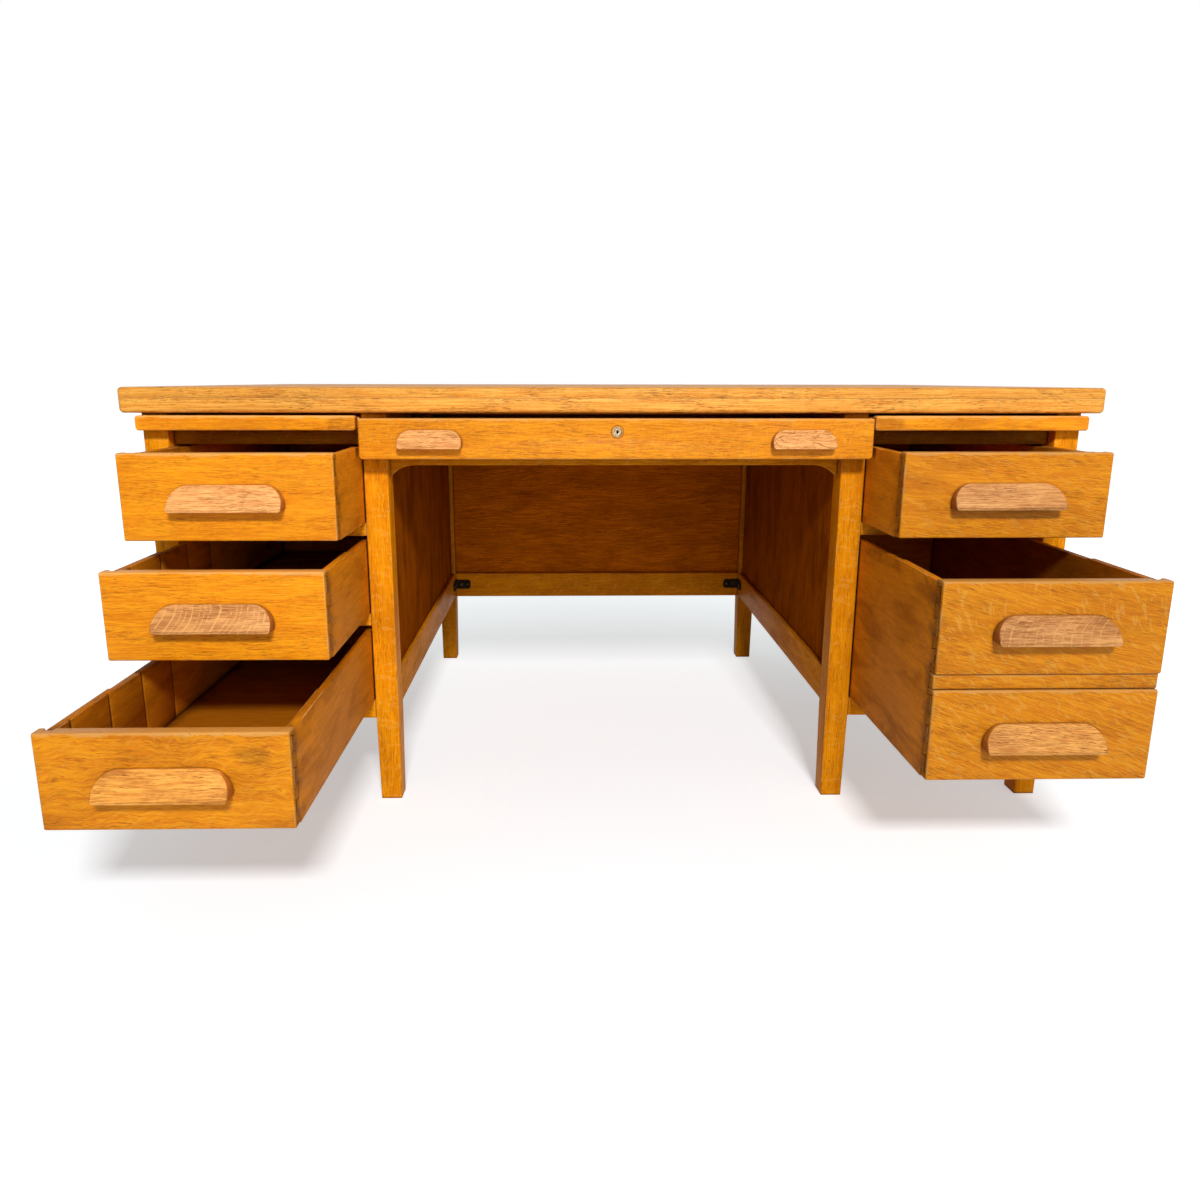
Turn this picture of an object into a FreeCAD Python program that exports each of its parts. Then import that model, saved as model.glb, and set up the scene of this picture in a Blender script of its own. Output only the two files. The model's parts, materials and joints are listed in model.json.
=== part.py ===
"""Oak pedestal desk with six drawers, two writing slides and an arched kneehole.

The desk stands on the floor at z = 0, with its front towards -Y and its length along X.
Everything hangs on the sheet "Sizes": lengths are in millimetres.
Pieces are placed from two planes, the front faces of the front legs and the middle of the desk.
"""

import FreeCAD, Part
import math
import os
import Sketcher

SIZES = (
    # overall
    ("top_length", 1676, "length of the top"),
    ("top_depth", 914, "depth of the top"),
    ("desk_height", 762, "floor to the top's upper face"),
    # top
    ("top_board_thickness", 18, "upper board of the top"),
    ("edge_strip_height", 25, "strips that thicken the top's edge"),
    ("edge_strip_width", 70, "width of those strips"),
    ("front_overhang", 22, "top beyond the front legs"),
    ("rear_overhang", 30, "top beyond the back legs"),
    ("side_overhang", 28, "top beyond the outer legs"),
    ("top_corner_radius", 9, "upright corners of the top"),
    ("top_arris_radius", 7, "long arrises of the top"),
    # legs and frames
    ("kneehole_width", 792, "clear width between the inner legs"),
    ("leg_width", 42, "square leg above its taper"),
    ("foot_width", 38, "square leg at the floor"),
    ("leg_arris_radius", 2, "rounding of a leg's edges"),
    ("rail_thickness", 22, "rails of the sides and the backs"),
    ("rail_setback", 1, "leg face to rail face"),
    ("rail_bevel", 1.5, "bevel of a rail's long edges"),
    ("low_rail_bottom", 179, "floor to the low rails"),
    ("low_rail_height", 66, "height of the low rails"),
    ("high_rail_height", 100, "height of the rails under the top"),
    ("panel_thickness", 6, "plywood panels"),
    ("panel_recess", 8, "rail face to panel face"),
    ("front_rail_bottom", 162, "floor to the rail under the drawers"),
    ("front_rail_height", 36, "height of that rail"),
    ("front_rail_depth", 60, "depth of the rails between drawers"),
    ("divider_height", 24, "height of a rail between two drawers"),
    ("runner_width", 42, "width of the drawer runners"),
    ("runner_height", 22, "height of the drawer runners"),
    # writing slides
    ("bearer_height", 24, "bearers that carry a writing slide"),
    ("slide_thickness", 18, "board of a writing slide"),
    ("slide_length", 560, "board of a writing slide, front to back"),
    ("lip_height", 25, "front lip of a writing slide"),
    ("lip_thickness", 20, "front lip of a writing slide"),
    ("lip_reach", 4, "lip beyond the drawer opening, kneehole side"),
    ("lip_gap", 4, "top to the lip"),
    ("lip_radius", 5, "rounded corners of the lip"),
    # kneehole
    ("apron_height", 18, "straight part of the arched rail"),
    ("apron_setback", 20, "leg face to the arched rail"),
    ("arch_reach", 45, "length of an arch at the rail's end"),
    ("arch_drop", 19.5, "drop of an arch at the leg"),
    ("modesty_setback", 10, "back leg's front face to the modesty rails"),
    ("bracket_leg", 41, "length of each leg of an angle bracket"),
    ("bracket_width", 25, "width of an angle bracket"),
    ("bracket_thickness", 2.5, "steel of an angle bracket"),
    ("bracket_height", 202, "floor to the brackets"),
    ("near_screw", 17, "bracket's corner to its nearer screws"),
    ("far_screw", 33, "bracket's corner to its farther screws"),
    ("screw_diameter", 8, "heads of the bracket screws, on the steel"),
    ("screw_crown", 5, "flat crown of a screw head"),
    ("screw_rise", 1.6, "height of a screw head"),
    # pedestal drawers
    ("side_gap", 1.5, "drawer front to leg"),
    ("gap_below", 2, "rail to drawer front, below"),
    ("gap_above", 4, "drawer front to rail, above"),
    ("running_gap", 0.3, "play between sliding pieces"),
    ("front_thickness", 20, "drawer fronts"),
    ("front_arris_radius", 3, "rounded face edges of the fronts"),
    ("strip_recess", 5, "front face to the strip of the deep drawer"),
    ("drawer_side_thickness", 12, "sides and backs of the drawers"),
    ("front_overlap", 9, "drawer front beyond the box, outer end"),
    ("side_drop", 3, "top of the front to the top of the sides"),
    ("bottom_thickness", 6, "drawer bottoms"),
    ("bottom_rise", 10, "lower edge of the front to the bottom's groove"),
    ("groove_depth", 5, "grooves for the drawer bottoms"),
    ("rear_space", 98, "closed drawer to the back frame"),
    ("tail_length", 13, "length of the lapped dovetails"),
    ("tail_root", 21, "width of a tail at its root"),
    ("tail_tip", 29, "width of a tail at its end"),
    ("housing_depth", 7, "depth of the plain housings in the fronts"),
    ("divider_slot_width", 5, "slots for loose partitions"),
    ("divider_slot_depth", 3, "slots for loose partitions"),
    ("divider_slot_pitch", 96, "distance between two slots"),
    ("first_slot", 30, "drawer front to the first slot"),
    # centre drawer
    ("centre_cover", 38, "centre front over each inner leg"),
    ("centre_front_drop", 8, "top to the centre front"),
    ("centre_front_height", 68, "height of the centre front"),
    ("centre_corner_radius", 6, "lower corners of the centre front"),
    ("centre_side_height", 54, "sides of the centre drawer"),
    ("centre_side_gap", 2.5, "centre drawer box to the side rails"),
    ("centre_length", 480, "centre drawer box, front to back"),
    ("centre_runner_width", 22, "runners of the centre drawer"),
    # handles
    ("handle_width", 174, "pedestal drawer handle"),
    ("handle_height", 40, "pedestal drawer handle"),
    ("handle_reach", 23, "pedestal drawer handle, from the front"),
    ("handle_round", 31, "quarter-round ends of that handle"),
    ("small_handle_width", 108, "centre drawer handle"),
    ("small_handle_height", 31, "centre drawer handle"),
    ("small_handle_reach", 19, "centre drawer handle, from the front"),
    ("small_handle_round", 23, "quarter-round ends of that handle"),
    ("small_handle_offset", 314, "desk middle to a centre drawer handle"),
    ("handle_nose", 5, "upright lower edge of a handle's face"),
    ("handle_crest", 4, "handle thickness at its top"),
    ("handle_wall", 8, "wood round the finger groove"),
    ("handle_arris_radius", 1.5, "rounding of a handle's face"),
    # lock
    ("barrel_diameter", 20, "lock barrel"),
    ("barrel_proud", 1, "barrel beyond the centre front"),
    ("barrel_depth", 22, "barrel centre below the front's top edge"),
    ("plug_diameter", 12, "turning plug"),
    ("plug_gap", 0.3, "play round the plug and the bolt"),
    ("keyhole_width", 1.8, "key slot in the plug"),
    ("keyhole_height", 7, "key slot in the plug"),
    ("keyhole_depth", 8, "key slot in the plug"),
    ("lock_width", 44, "lock case"),
    ("lock_height", 38, "lock case"),
    ("lock_thickness", 10, "lock case"),
    ("bolt_width", 16, "lock bolt"),
    ("bolt_thickness", 4.4, "lock bolt"),
    ("bolt_length", 22, "lock bolt"),
    ("bolt_throw", 12, "travel of the lock bolt"),
    ("bolt_inset", 2.5, "back of the centre front to the bolt"),
    ("bolt_headroom", 2, "mortise above the raised bolt"),
    ("plug_wall", 1, "metal between the plug and the bolt's channel"),
    # how far each piece stands open
    ("open_left_top", 183, "left top drawer"),
    ("open_left_middle", 266, "left middle drawer"),
    ("open_left_bottom", 460, "left bottom drawer"),
    ("open_right_top", 170, "right top drawer"),
    ("open_right_deep", 338, "right deep drawer"),
    ("open_centre", 24, "centre drawer"),
    ("open_slides", 6, "writing slides"),
)

TIERS = 3
TAILS = 3
SLOTS = 4
OVERCUT = 5.0
TOLERANCE = 1e-3
QUARTER_TURN = math.pi / 2

doc = FreeCAD.newDocument("PedestalDesk")
sheet = doc.addObject("Spreadsheet::Sheet", "Sizes")
for row, (alias, number, note) in enumerate(SIZES, 1):
    sheet.set(f"A{row}", note)
    sheet.set(f"B{row}", str(number))
    sheet.setAlias(f"B{row}", alias)
doc.recompute()


def size(alias):
    """Expression that reads one cell of the sheet."""
    return f"Sizes.{alias}"


def add(*terms):
    """Expression for a sum."""
    return "(" + " + ".join(str(term) for term in terms) + ")"


def less(first, *terms):
    """Expression for the first term less all others."""
    return "(" + " - ".join(str(term) for term in (first,) + terms) + ")"


def times(term, factor):
    """Expression for a term times a plain number."""
    return f"({term} * {factor})"


def minus(term):
    """Expression for the negative of a term."""
    return f"(0 - {term})"


def value(expression):
    """Number that an expression stands for."""
    return float(sheet.evalExpression(str(expression)))


# Upright levels, from the floor.
UNDERSIDE = less(size("desk_height"), size("top_board_thickness"), size("edge_strip_height"))
STRIP_TOP = less(size("desk_height"), size("top_board_thickness"))
LOW_RAIL_TOP = add(size("low_rail_bottom"), size("low_rail_height"))
HIGH_RAIL_BOTTOM = less(UNDERSIDE, size("high_rail_height"))
LIP_BOTTOM = less(UNDERSIDE, size("lip_gap"), size("lip_height"))
SLIDE_BOTTOM = add(LIP_BOTTOM, times(less(size("lip_height"), size("slide_thickness")), 0.5))
BEARER_TOP = less(SLIDE_BOTTOM, size("running_gap"))
BEARER_BOTTOM = less(BEARER_TOP, size("bearer_height"))
FRONT_RAIL_TOP = add(size("front_rail_bottom"), size("front_rail_height"))
TIER_PITCH = times(add(less(BEARER_BOTTOM, FRONT_RAIL_TOP), size("divider_height")), f"1 / {TIERS}")
FRONT_HEIGHT = less(TIER_PITCH, size("divider_height"), size("gap_below"), size("gap_above"))
CENTRE_FRONT_TOP = less(UNDERSIDE, size("centre_front_drop"))
CENTRE_FRONT_BOTTOM = less(CENTRE_FRONT_TOP, size("centre_front_height"))
APRON_TOP = add(CENTRE_FRONT_BOTTOM, size("gap_below"))
APRON_BOTTOM = less(APRON_TOP, size("apron_height"))

# Distances from the middle of the desk.
HALF_KNEEHOLE = times(size("kneehole_width"), 0.5)
INNER_OPENING = add(HALF_KNEEHOLE, size("leg_width"))
OUTER_FACE = less(times(size("top_length"), 0.5), size("side_overhang"))
OUTER_OPENING = less(OUTER_FACE, size("leg_width"))
OPENING_WIDTH = less(OUTER_OPENING, INNER_OPENING)
FRONT_WIDTH = less(OPENING_WIDTH, size("side_gap"), size("side_gap"))

# Distances back from the front legs' front faces.
LEG_SPAN = less(size("top_depth"), size("front_overhang"), size("rear_overhang"))
BACK_LEG = less(LEG_SPAN, size("leg_width"))
RAIL_LENGTH = less(BACK_LEG, size("leg_width"))
BACK_FRAME = less(LEG_SPAN, size("rail_setback"), size("rail_thickness"))
DRAWER_LENGTH = less(BACK_FRAME, size("rear_space"))

# The part's origin is under the middle of its box, from the foremost handle to the back of the top.
FOREMOST = add(size("open_left_bottom"), size("handle_reach"))
FRONT_PLANE = times(less(FOREMOST, less(size("top_depth"), size("front_overhang"))), 0.5)

LEFT = -1
RIGHT = 1
SIDE_NAMES = {LEFT: "left", RIGHT: "right"}

nodes = []


def back_from_front(distance):
    """Part's y for a distance back from the front legs' front faces."""
    return add(FRONT_PLANE, distance)


def low_x(side, near, far):
    """Lower x of a piece that reaches from near to far of the desk's middle, on one side."""
    return near if side == RIGHT else minus(far)


def place(item, x, y, z):
    """Bind an item's position to three expressions."""
    for axis, expression in zip("xyz", (x, y, z)):
        item.setExpression(f"Placement.Base.{axis}", str(expression))


def keep(label, item):
    """Keep a finished piece, or several alike, as one node."""
    if isinstance(item, (list, tuple)):
        group = doc.addObject("Part::Compound", label)
        group.Links = list(item)
        item = group
    item.Label = label
    nodes.append(item)


def block(name, corner, extent):
    """Plain board: a box with its corner and its three sizes bound to the sheet."""
    box = doc.addObject("Part::Box", name)
    for prop, expression in zip(("Length", "Width", "Height"), extent):
        box.setExpression(prop, str(expression))
    place(box, *corner)
    return box


def new_sketch(body, name, role, offset="0"):
    """Empty sketch on one of the body's own origin planes, moved along its normal."""
    plane = next(item for item in body.Origin.OriginFeatures if item.Role == role)
    sketch = body.newObject("Sketcher::SketchObject", name)
    sketch.AttachmentSupport = [(plane, "")]
    sketch.MapMode = "FlatFace"
    sketch.setExpression("AttachmentOffset.Base.z", str(offset))
    return sketch


def pin_point(sketch, line, end, x, y):
    """Fix one end of a line by its two distances from the sketch's origin."""
    for kind, expression in (("DistanceX", x), ("DistanceY", y)):
        rule = Sketcher.Constraint(kind, -1, 1, line, end, value(expression))
        index = sketch.addConstraint(rule)
        sketch.setExpression(f"Constraints[{index}]", str(expression))


def add_pinned_line(sketch, start, end):
    """Straight line with both its ends given by two expressions."""
    points = [FreeCAD.Vector(value(x), value(y), 0) for x, y in (start, end)]
    line = sketch.addGeometry(Part.LineSegment(*points), False)
    pin_point(sketch, line, 1, *start)
    pin_point(sketch, line, 2, *end)


def add_outline(sketch, corners):
    """Closed outline of straight lines, each corner given by two expressions."""
    first = sketch.GeometryCount
    points = [FreeCAD.Vector(value(x), value(y), 0) for x, y in corners]
    count = len(points)
    for index in range(count):
        sketch.addGeometry(Part.LineSegment(points[index], points[(index + 1) % count]), False)
    for index, (x, y) in enumerate(corners):
        following = (index + 1) % count
        sketch.addConstraint(Sketcher.Constraint("Coincident", first + index, 2, first + following, 1))
        pin_point(sketch, first + index, 1, x, y)


def add_rectangle(sketch, x0, y0, x1, y1):
    """Rectangle between two corners given by expressions."""
    add_outline(sketch, ((x0, y0), (x1, y0), (x1, y1), (x0, y1)))


def add_arc(sketch, start_line, end_line, centre, radius, angles):
    """Arc from the end of one line to the start of another, with its radius bound."""
    circle = Part.Circle(FreeCAD.Vector(*centre, 0), FreeCAD.Vector(0, 0, 1), value(radius))
    arc = sketch.addGeometry(Part.ArcOfCircle(circle, *angles), False)
    sketch.addConstraint(Sketcher.Constraint("Coincident", arc, 1, *start_line))
    sketch.addConstraint(Sketcher.Constraint("Coincident", arc, 2, *end_line))
    index = sketch.addConstraint(Sketcher.Constraint("Radius", arc, value(radius)))
    sketch.setExpression(f"Constraints[{index}]", str(radius))


def extrude(body, kind, name, sketch, length, reverse=False):
    """Pad or Pocket of a sketch."""
    feature = body.newObject(f"PartDesign::{kind}", name)
    feature.Profile = sketch
    feature.setExpression("Length", str(length))
    feature.Reversed = reverse
    body.Tip = feature
    return feature


def dress_edges(body, kind, name, amount, wanted):
    """Fillet or Chamfer on the edges of the body that a test picks by their boxes."""
    doc.recompute()
    feature = body.Tip
    picked = [f"Edge{i}" for i, edge in enumerate(feature.Shape.Edges, 1) if wanted(edge.BoundBox)]
    dressing = body.newObject(f"PartDesign::{kind}", name)
    dressing.Base = (feature, picked)
    dressing.setExpression("Radius" if kind == "Fillet" else "Size", str(amount))
    body.Tip = dressing


def round_edges(body, name, radius, wanted):
    """Fillet on the edges of the body that a test picks."""
    dress_edges(body, "Fillet", name, radius, wanted)


def runs_along(axis, box):
    """True for a straight edge along one axis."""
    spans = {"x": box.XLength, "y": box.YLength, "z": box.ZLength}
    across = sum(length for name, length in spans.items() if name != axis)
    return spans[axis] > TOLERANCE and across < TOLERANCE


def on_front_face(box, thickness):
    """True for an edge on the face that lies a board's thickness in front of its back."""
    return box.YMax < TOLERANCE - thickness


def board(name, corner, extent, bevel, axis):
    """Board with its edges along one axis bevelled."""
    body = doc.addObject("PartDesign::Body", name)
    sketch = new_sketch(body, f"{name}_outline", "XY_Plane")
    add_rectangle(sketch, "0", "0", extent[0], extent[1])
    extrude(body, "Pad", f"{name}_pad", sketch, extent[2])
    dress_edges(body, "Chamfer", f"{name}_arrises", bevel, lambda box: runs_along(axis, box))
    place(body, *corner)
    return body


# ---------------------------------------------------------------- top

def is_top_corner(box, half, front, back):
    """True for an upright edge at one of the top's four corners."""
    outer = abs(box.Center.x) > half - TOLERANCE
    ends = box.Center.y < front + TOLERANCE or box.Center.y > back - TOLERANCE
    return runs_along("z", box) and outer and ends


def make_top():
    """Upper board and the four strips that thicken its edge."""
    half = times(size("top_length"), 0.5)
    front = minus(size("front_overhang"))
    back = less(size("top_depth"), size("front_overhang"))
    body = doc.addObject("PartDesign::Body", "top_board_body")
    sketch = new_sketch(body, "top_outline", "XY_Plane")
    add_rectangle(sketch, minus(half), front, half, back)
    extrude(body, "Pad", "top_pad", sketch, size("top_board_thickness"))
    outer = (value(half), value(front), value(back))
    upper = value(size("top_board_thickness")) - TOLERANCE
    round_edges(body, "top_corners", size("top_corner_radius"), lambda box: is_top_corner(box, *outer))
    round_edges(body, "top_arris", size("top_arris_radius"), lambda box: box.ZMin > upper)
    place(body, "0", back_from_front("0"), STRIP_TOP)
    keep("top_board", body)

    width = size("edge_strip_width")
    inner_half = less(half, width)
    strips = (
        ("front_strip", minus(half), front, half, add(front, width)),
        ("back_strip", minus(half), less(back, width), half, back),
        ("left_strip", minus(half), add(front, width), minus(inner_half), less(back, width)),
        ("right_strip", inner_half, add(front, width), half, less(back, width)),
    )
    pieces = []
    for name, x0, y0, x1, y1 in strips:
        strip = doc.addObject("PartDesign::Body", name)
        sketch = new_sketch(strip, f"{name}_outline", "XY_Plane")
        add_rectangle(sketch, x0, y0, x1, y1)
        extrude(strip, "Pad", f"{name}_pad", sketch, size("edge_strip_height"))
        if name == "front_strip":
            cut_bolt_mortise(strip)
        round_strip(strip, name, *outer)
        place(strip, "0", back_from_front("0"), UNDERSIDE)
        pieces.append(strip)
    keep("top_edge_strips", pieces)


def round_strip(strip, name, half, front, back):
    """Round a strip's outer corners and its outer lower arris."""
    margin = value(size("top_corner_radius")) + TOLERANCE

    def at_outer_arris(box):
        beyond_front = box.YMax < front + margin
        beyond_back = box.YMin > back - margin
        beyond_side = min(abs(box.XMin), abs(box.XMax)) > half - margin
        return box.ZMax < TOLERANCE and (beyond_front or beyond_back or beyond_side)

    if name in ("front_strip", "back_strip"):
        round_edges(strip, f"{name}_corners", size("top_corner_radius"),
                    lambda box: is_top_corner(box, half, front, back))
    round_edges(strip, f"{name}_arris", size("top_arris_radius"), at_outer_arris)


def cut_bolt_mortise(strip):
    """Mortise over the closed centre drawer's lock, which takes the raised bolt."""
    play = size("plug_gap")
    half = add(times(size("bolt_width"), 0.5), play)
    back = minus(less(size("bolt_inset"), play))
    front = minus(add(size("bolt_inset"), size("bolt_thickness"), play))
    rise = add(less(size("bolt_throw"), size("centre_front_drop")), size("bolt_headroom"))
    sketch = new_sketch(strip, "mortise_outline", "XY_Plane")
    add_rectangle(sketch, minus(half), front, half, back)
    extrude(strip, "Pocket", "mortise", sketch, rise, reverse=True)


# ---------------------------------------------------------------- legs and frames

def make_leg(label, x, y):
    """Square leg with rounded edges, tapered below the drawer rails."""
    body = doc.addObject("PartDesign::Body", f"{label}_body")
    sections = []
    levels = (("foot", "0", size("foot_width")),
              ("knee", size("front_rail_bottom"), size("leg_width")),
              ("head", UNDERSIDE, size("leg_width")))
    for name, level, width in levels:
        sketch = new_sketch(body, f"{label}_{name}", "XY_Plane", level)
        add_rounded_square(sketch, width, size("leg_arris_radius"))
        sections.append(sketch)
    loft = body.newObject("PartDesign::AdditiveLoft", f"{label}_loft")
    loft.Profile = sections[0]
    loft.Sections = sections[1:]
    loft.Ruled = True
    body.Tip = loft
    half = times(size("leg_width"), 0.5)
    place(body, add(x, half), back_from_front(add(y, half)), "0")
    keep(label, body)


def add_rounded_square(sketch, width, radius):
    """Square about the sketch's origin with four rounded corners."""
    half = times(width, 0.5)
    short = less(half, radius)
    ends = (
        ((minus(short), minus(half)), (short, minus(half))),
        ((half, minus(short)), (half, short)),
        ((short, half), (minus(short), half)),
        ((minus(half), short), (minus(half), minus(short))),
    )
    for start, end in ends:
        add_pinned_line(sketch, start, end)
    inset = value(short)
    centres = ((inset, -inset), (inset, inset), (-inset, inset), (-inset, -inset))
    for line, centre in enumerate(centres):
        angle = (line - 1) * QUARTER_TURN
        add_arc(sketch, (line, 2), ((line + 1) % 4, 1), centre, radius, (angle, angle + QUARTER_TURN))


def make_legs():
    """Two front and two back legs for each pedestal."""
    for side in (LEFT, RIGHT):
        columns = (("inner", HALF_KNEEHOLE, INNER_OPENING), ("outer", OUTER_OPENING, OUTER_FACE))
        for column, near, far in columns:
            for row, y in (("front", "0"), ("back", BACK_LEG)):
                make_leg(f"leg_{SIDE_NAMES[side]}_{column}_{row}", low_x(side, near, far), y)


def make_side_frames():
    """Rails and plywood panels between the front and the back legs."""
    thick = size("rail_thickness")
    for side in (LEFT, RIGHT):
        rails = []
        inner_face = add(HALF_KNEEHOLE, size("rail_setback"))
        outer_face = less(OUTER_FACE, size("rail_setback"))
        frames = (("inner", inner_face, add(inner_face, thick)),
                  ("outer", less(outer_face, thick), outer_face))
        for frame, near, far in frames:
            name = f"{SIDE_NAMES[side]}_{frame}"
            x = low_x(side, near, far)
            y = back_from_front(size("leg_width"))
            levels = (("low", size("low_rail_bottom"), size("low_rail_height")),
                      ("high", HIGH_RAIL_BOTTOM, size("high_rail_height")))
            for level, bottom, height in levels:
                rails.append(board(f"{level}_rail_{name}", (x, y, bottom), (thick, RAIL_LENGTH, height),
                                   size("rail_bevel"), "y"))
            recess = size("panel_recess")
            panel = size("panel_thickness")
            if frame == "inner":
                panel_near = add(near, recess)
            else:
                panel_near = less(far, recess, panel)
            keep(f"side_panel_{name}", block(
                f"side_panel_{name}_box",
                (low_x(side, panel_near, add(panel_near, panel)), y, LOW_RAIL_TOP),
                (panel, RAIL_LENGTH, less(HIGH_RAIL_BOTTOM, LOW_RAIL_TOP))))
        keep(f"side_rails_{SIDE_NAMES[side]}", rails)


def make_back_frames():
    """Rails and panels that close the pedestals behind, and the modesty panel of the kneehole."""
    thick = size("rail_thickness")
    levels = (("low", size("low_rail_bottom"), size("low_rail_height")),
              ("high", HIGH_RAIL_BOTTOM, size("high_rail_height")))
    rails = []
    for side in (LEFT, RIGHT):
        name = SIDE_NAMES[side]
        x = low_x(side, INNER_OPENING, OUTER_OPENING)
        y = back_from_front(BACK_FRAME)
        for level, bottom, height in levels:
            rails.append(board(f"back_{level}_rail_{name}", (x, y, bottom), (OPENING_WIDTH, thick, height),
                               size("rail_bevel"), "x"))
        panel_y = less(LEG_SPAN, size("rail_setback"), size("panel_recess"), size("panel_thickness"))
        keep(f"back_panel_{name}", block(
            f"back_panel_{name}_box", (x, back_from_front(panel_y), LOW_RAIL_TOP),
            (OPENING_WIDTH, size("panel_thickness"), less(HIGH_RAIL_BOTTOM, LOW_RAIL_TOP))))
    keep("back_rails", rails)

    modesty = add(BACK_LEG, size("modesty_setback"))
    rails = []
    for level, bottom, height in levels:
        corner = (minus(HALF_KNEEHOLE), back_from_front(modesty), bottom)
        rails.append(board(f"modesty_{level}_rail", corner, (size("kneehole_width"), thick, height),
                           size("rail_bevel"), "x"))
    keep("modesty_rails", rails)
    keep("modesty_panel", block(
        "modesty_panel_box",
        (minus(HALF_KNEEHOLE), back_from_front(add(modesty, size("panel_recess"))), LOW_RAIL_TOP),
        (size("kneehole_width"), size("panel_thickness"), less(HIGH_RAIL_BOTTOM, LOW_RAIL_TOP))))


def tier_floor(tier):
    """Level of the rail that a tier's drawer runs on, counted from the lowest."""
    return add(FRONT_RAIL_TOP, times(TIER_PITCH, tier))


def make_front_rails():
    """Rails between the front legs, below and between the drawers."""
    for side, tiers in ((LEFT, (1, 2)), (RIGHT, (2,))):
        name = SIDE_NAMES[side]
        x = low_x(side, INNER_OPENING, OUTER_OPENING)
        y = back_from_front(size("rail_setback"))
        rails = [board(f"front_rail_{name}", (x, y, size("front_rail_bottom")),
                       (OPENING_WIDTH, size("front_rail_depth"), size("front_rail_height")),
                       size("rail_bevel"), "x")]
        for tier in tiers:
            bottom = less(tier_floor(tier), size("divider_height"))
            rails.append(board(f"divider_{name}_{tier}", (x, y, bottom),
                               (OPENING_WIDTH, size("front_rail_depth"), size("divider_height")),
                               size("rail_bevel"), "x"))
        keep(f"front_rails_{name}", rails)


def make_runners():
    """Runners behind the front rails, and bearers for the writing slides, from leg to leg."""
    inner_face = add(HALF_KNEEHOLE, size("rail_setback"), size("rail_thickness"))
    outer_face = less(OUTER_FACE, size("rail_setback"), size("rail_thickness"))
    behind_rail = add(size("rail_setback"), size("front_rail_depth"))
    for side, tiers in ((LEFT, (0, 1, 2)), (RIGHT, (0, 2))):
        name = SIDE_NAMES[side]
        runners = []
        for edge, near in (("inner", inner_face), ("outer", less(outer_face, size("runner_width")))):
            x = low_x(side, near, add(near, size("runner_width")))
            for tier in tiers:
                bottom = less(tier_floor(tier), size("runner_height"))
                runners.append(block(
                    f"runner_{name}_{edge}_{tier}", (x, back_from_front(behind_rail), bottom),
                    (size("runner_width"), less(BACK_LEG, behind_rail), size("runner_height"))))
            runners.append(block(
                f"bearer_{name}_{edge}", (x, back_from_front(size("leg_width")), BEARER_BOTTOM),
                (size("runner_width"), RAIL_LENGTH, size("bearer_height"))))
        keep(f"drawer_runners_{name}", runners)


# ---------------------------------------------------------------- kneehole

def make_apron():
    """Rail over the kneehole, with an arch at each end that runs down to the leg."""
    body = doc.addObject("PartDesign::Body", "apron_body")
    sketch = new_sketch(body, "apron_outline", "XZ_Plane")
    reach = size("arch_reach")
    drop = size("arch_drop")
    straight = less(HALF_KNEEHOLE, reach)
    toe = less(APRON_BOTTOM, drop)
    path = ((minus(straight), APRON_BOTTOM), (straight, APRON_BOTTOM),
            (HALF_KNEEHOLE, toe), (HALF_KNEEHOLE, APRON_TOP),
            (minus(HALF_KNEEHOLE), APRON_TOP), (minus(HALF_KNEEHOLE), toe))
    for start, end in ((0, 1), (2, 3), (3, 4), (4, 5)):
        add_pinned_line(sketch, path[start], path[end])
    radius = f"(({reach} ^ 2 + {drop} ^ 2) / (2 * {drop}))"
    centre_z = value(less(APRON_BOTTOM, radius))
    right_centre = FreeCAD.Vector(value(straight), centre_z, 0)
    left_centre = FreeCAD.Vector(-value(straight), centre_z, 0)
    for centre, first, last in ((right_centre, path[2], path[1]), (left_centre, path[0], path[5])):
        angles = []
        for x, y in (first, last):
            spoke = FreeCAD.Vector(value(x), value(y), 0) - centre
            angles.append(FreeCAD.Vector(1, 0, 0).getAngle(spoke))
        ends = {path[1]: (0, 2), path[0]: (0, 1), path[2]: (1, 1), path[5]: (3, 2)}
        add_arc(sketch, ends[first], ends[last], (centre.x, centre.y), radius, angles)
    extrude(body, "Pad", "apron_pad", sketch, size("rail_thickness"))
    place(body, "0", back_from_front(add(size("apron_setback"), size("rail_thickness"))), "0")
    keep("apron_rail", body)


def make_brackets():
    """Steel angles that tie the low modesty rail to the back legs, and their screws."""
    leg = size("bracket_leg")
    steel = size("bracket_thickness")
    width = size("bracket_width")
    wall = add(BACK_LEG, size("modesty_setback"))
    angles = []
    screws = []
    for side in (LEFT, RIGHT):
        name = SIDE_NAMES[side]
        body = doc.addObject("PartDesign::Body", f"bracket_{name}")
        sketch = new_sketch(body, f"bracket_{name}_outline", "XY_Plane")
        inward = 1 if side == LEFT else -1
        corners = (("0", "0"), (leg, "0"), (leg, minus(steel)), (steel, minus(steel)),
                   (steel, minus(leg)), ("0", minus(leg)))
        add_outline(sketch, [(times(x, inward), y) for x, y in corners])
        extrude(body, "Pad", f"bracket_{name}_pad", sketch, width)
        place(body, low_x(side, HALF_KNEEHOLE, HALF_KNEEHOLE), back_from_front(wall),
              size("bracket_height"))
        angles.append(body)
        middle = add(size("bracket_height"), times(width, 0.5))
        for spot in ("near_screw", "far_screw"):
            rail_x = less(HALF_KNEEHOLE, size(spot))
            screws.append(screw_head(
                f"{name}_rail_{spot}", (low_x(side, rail_x, rail_x), less(wall, steel), middle), "front"))
            leg_x = less(HALF_KNEEHOLE, steel)
            screws.append(screw_head(
                f"{name}_leg_{spot}", (low_x(side, leg_x, leg_x), less(wall, size(spot)), middle), name))
    keep("corner_brackets", angles)
    keep("bracket_screws", screws)


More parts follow.
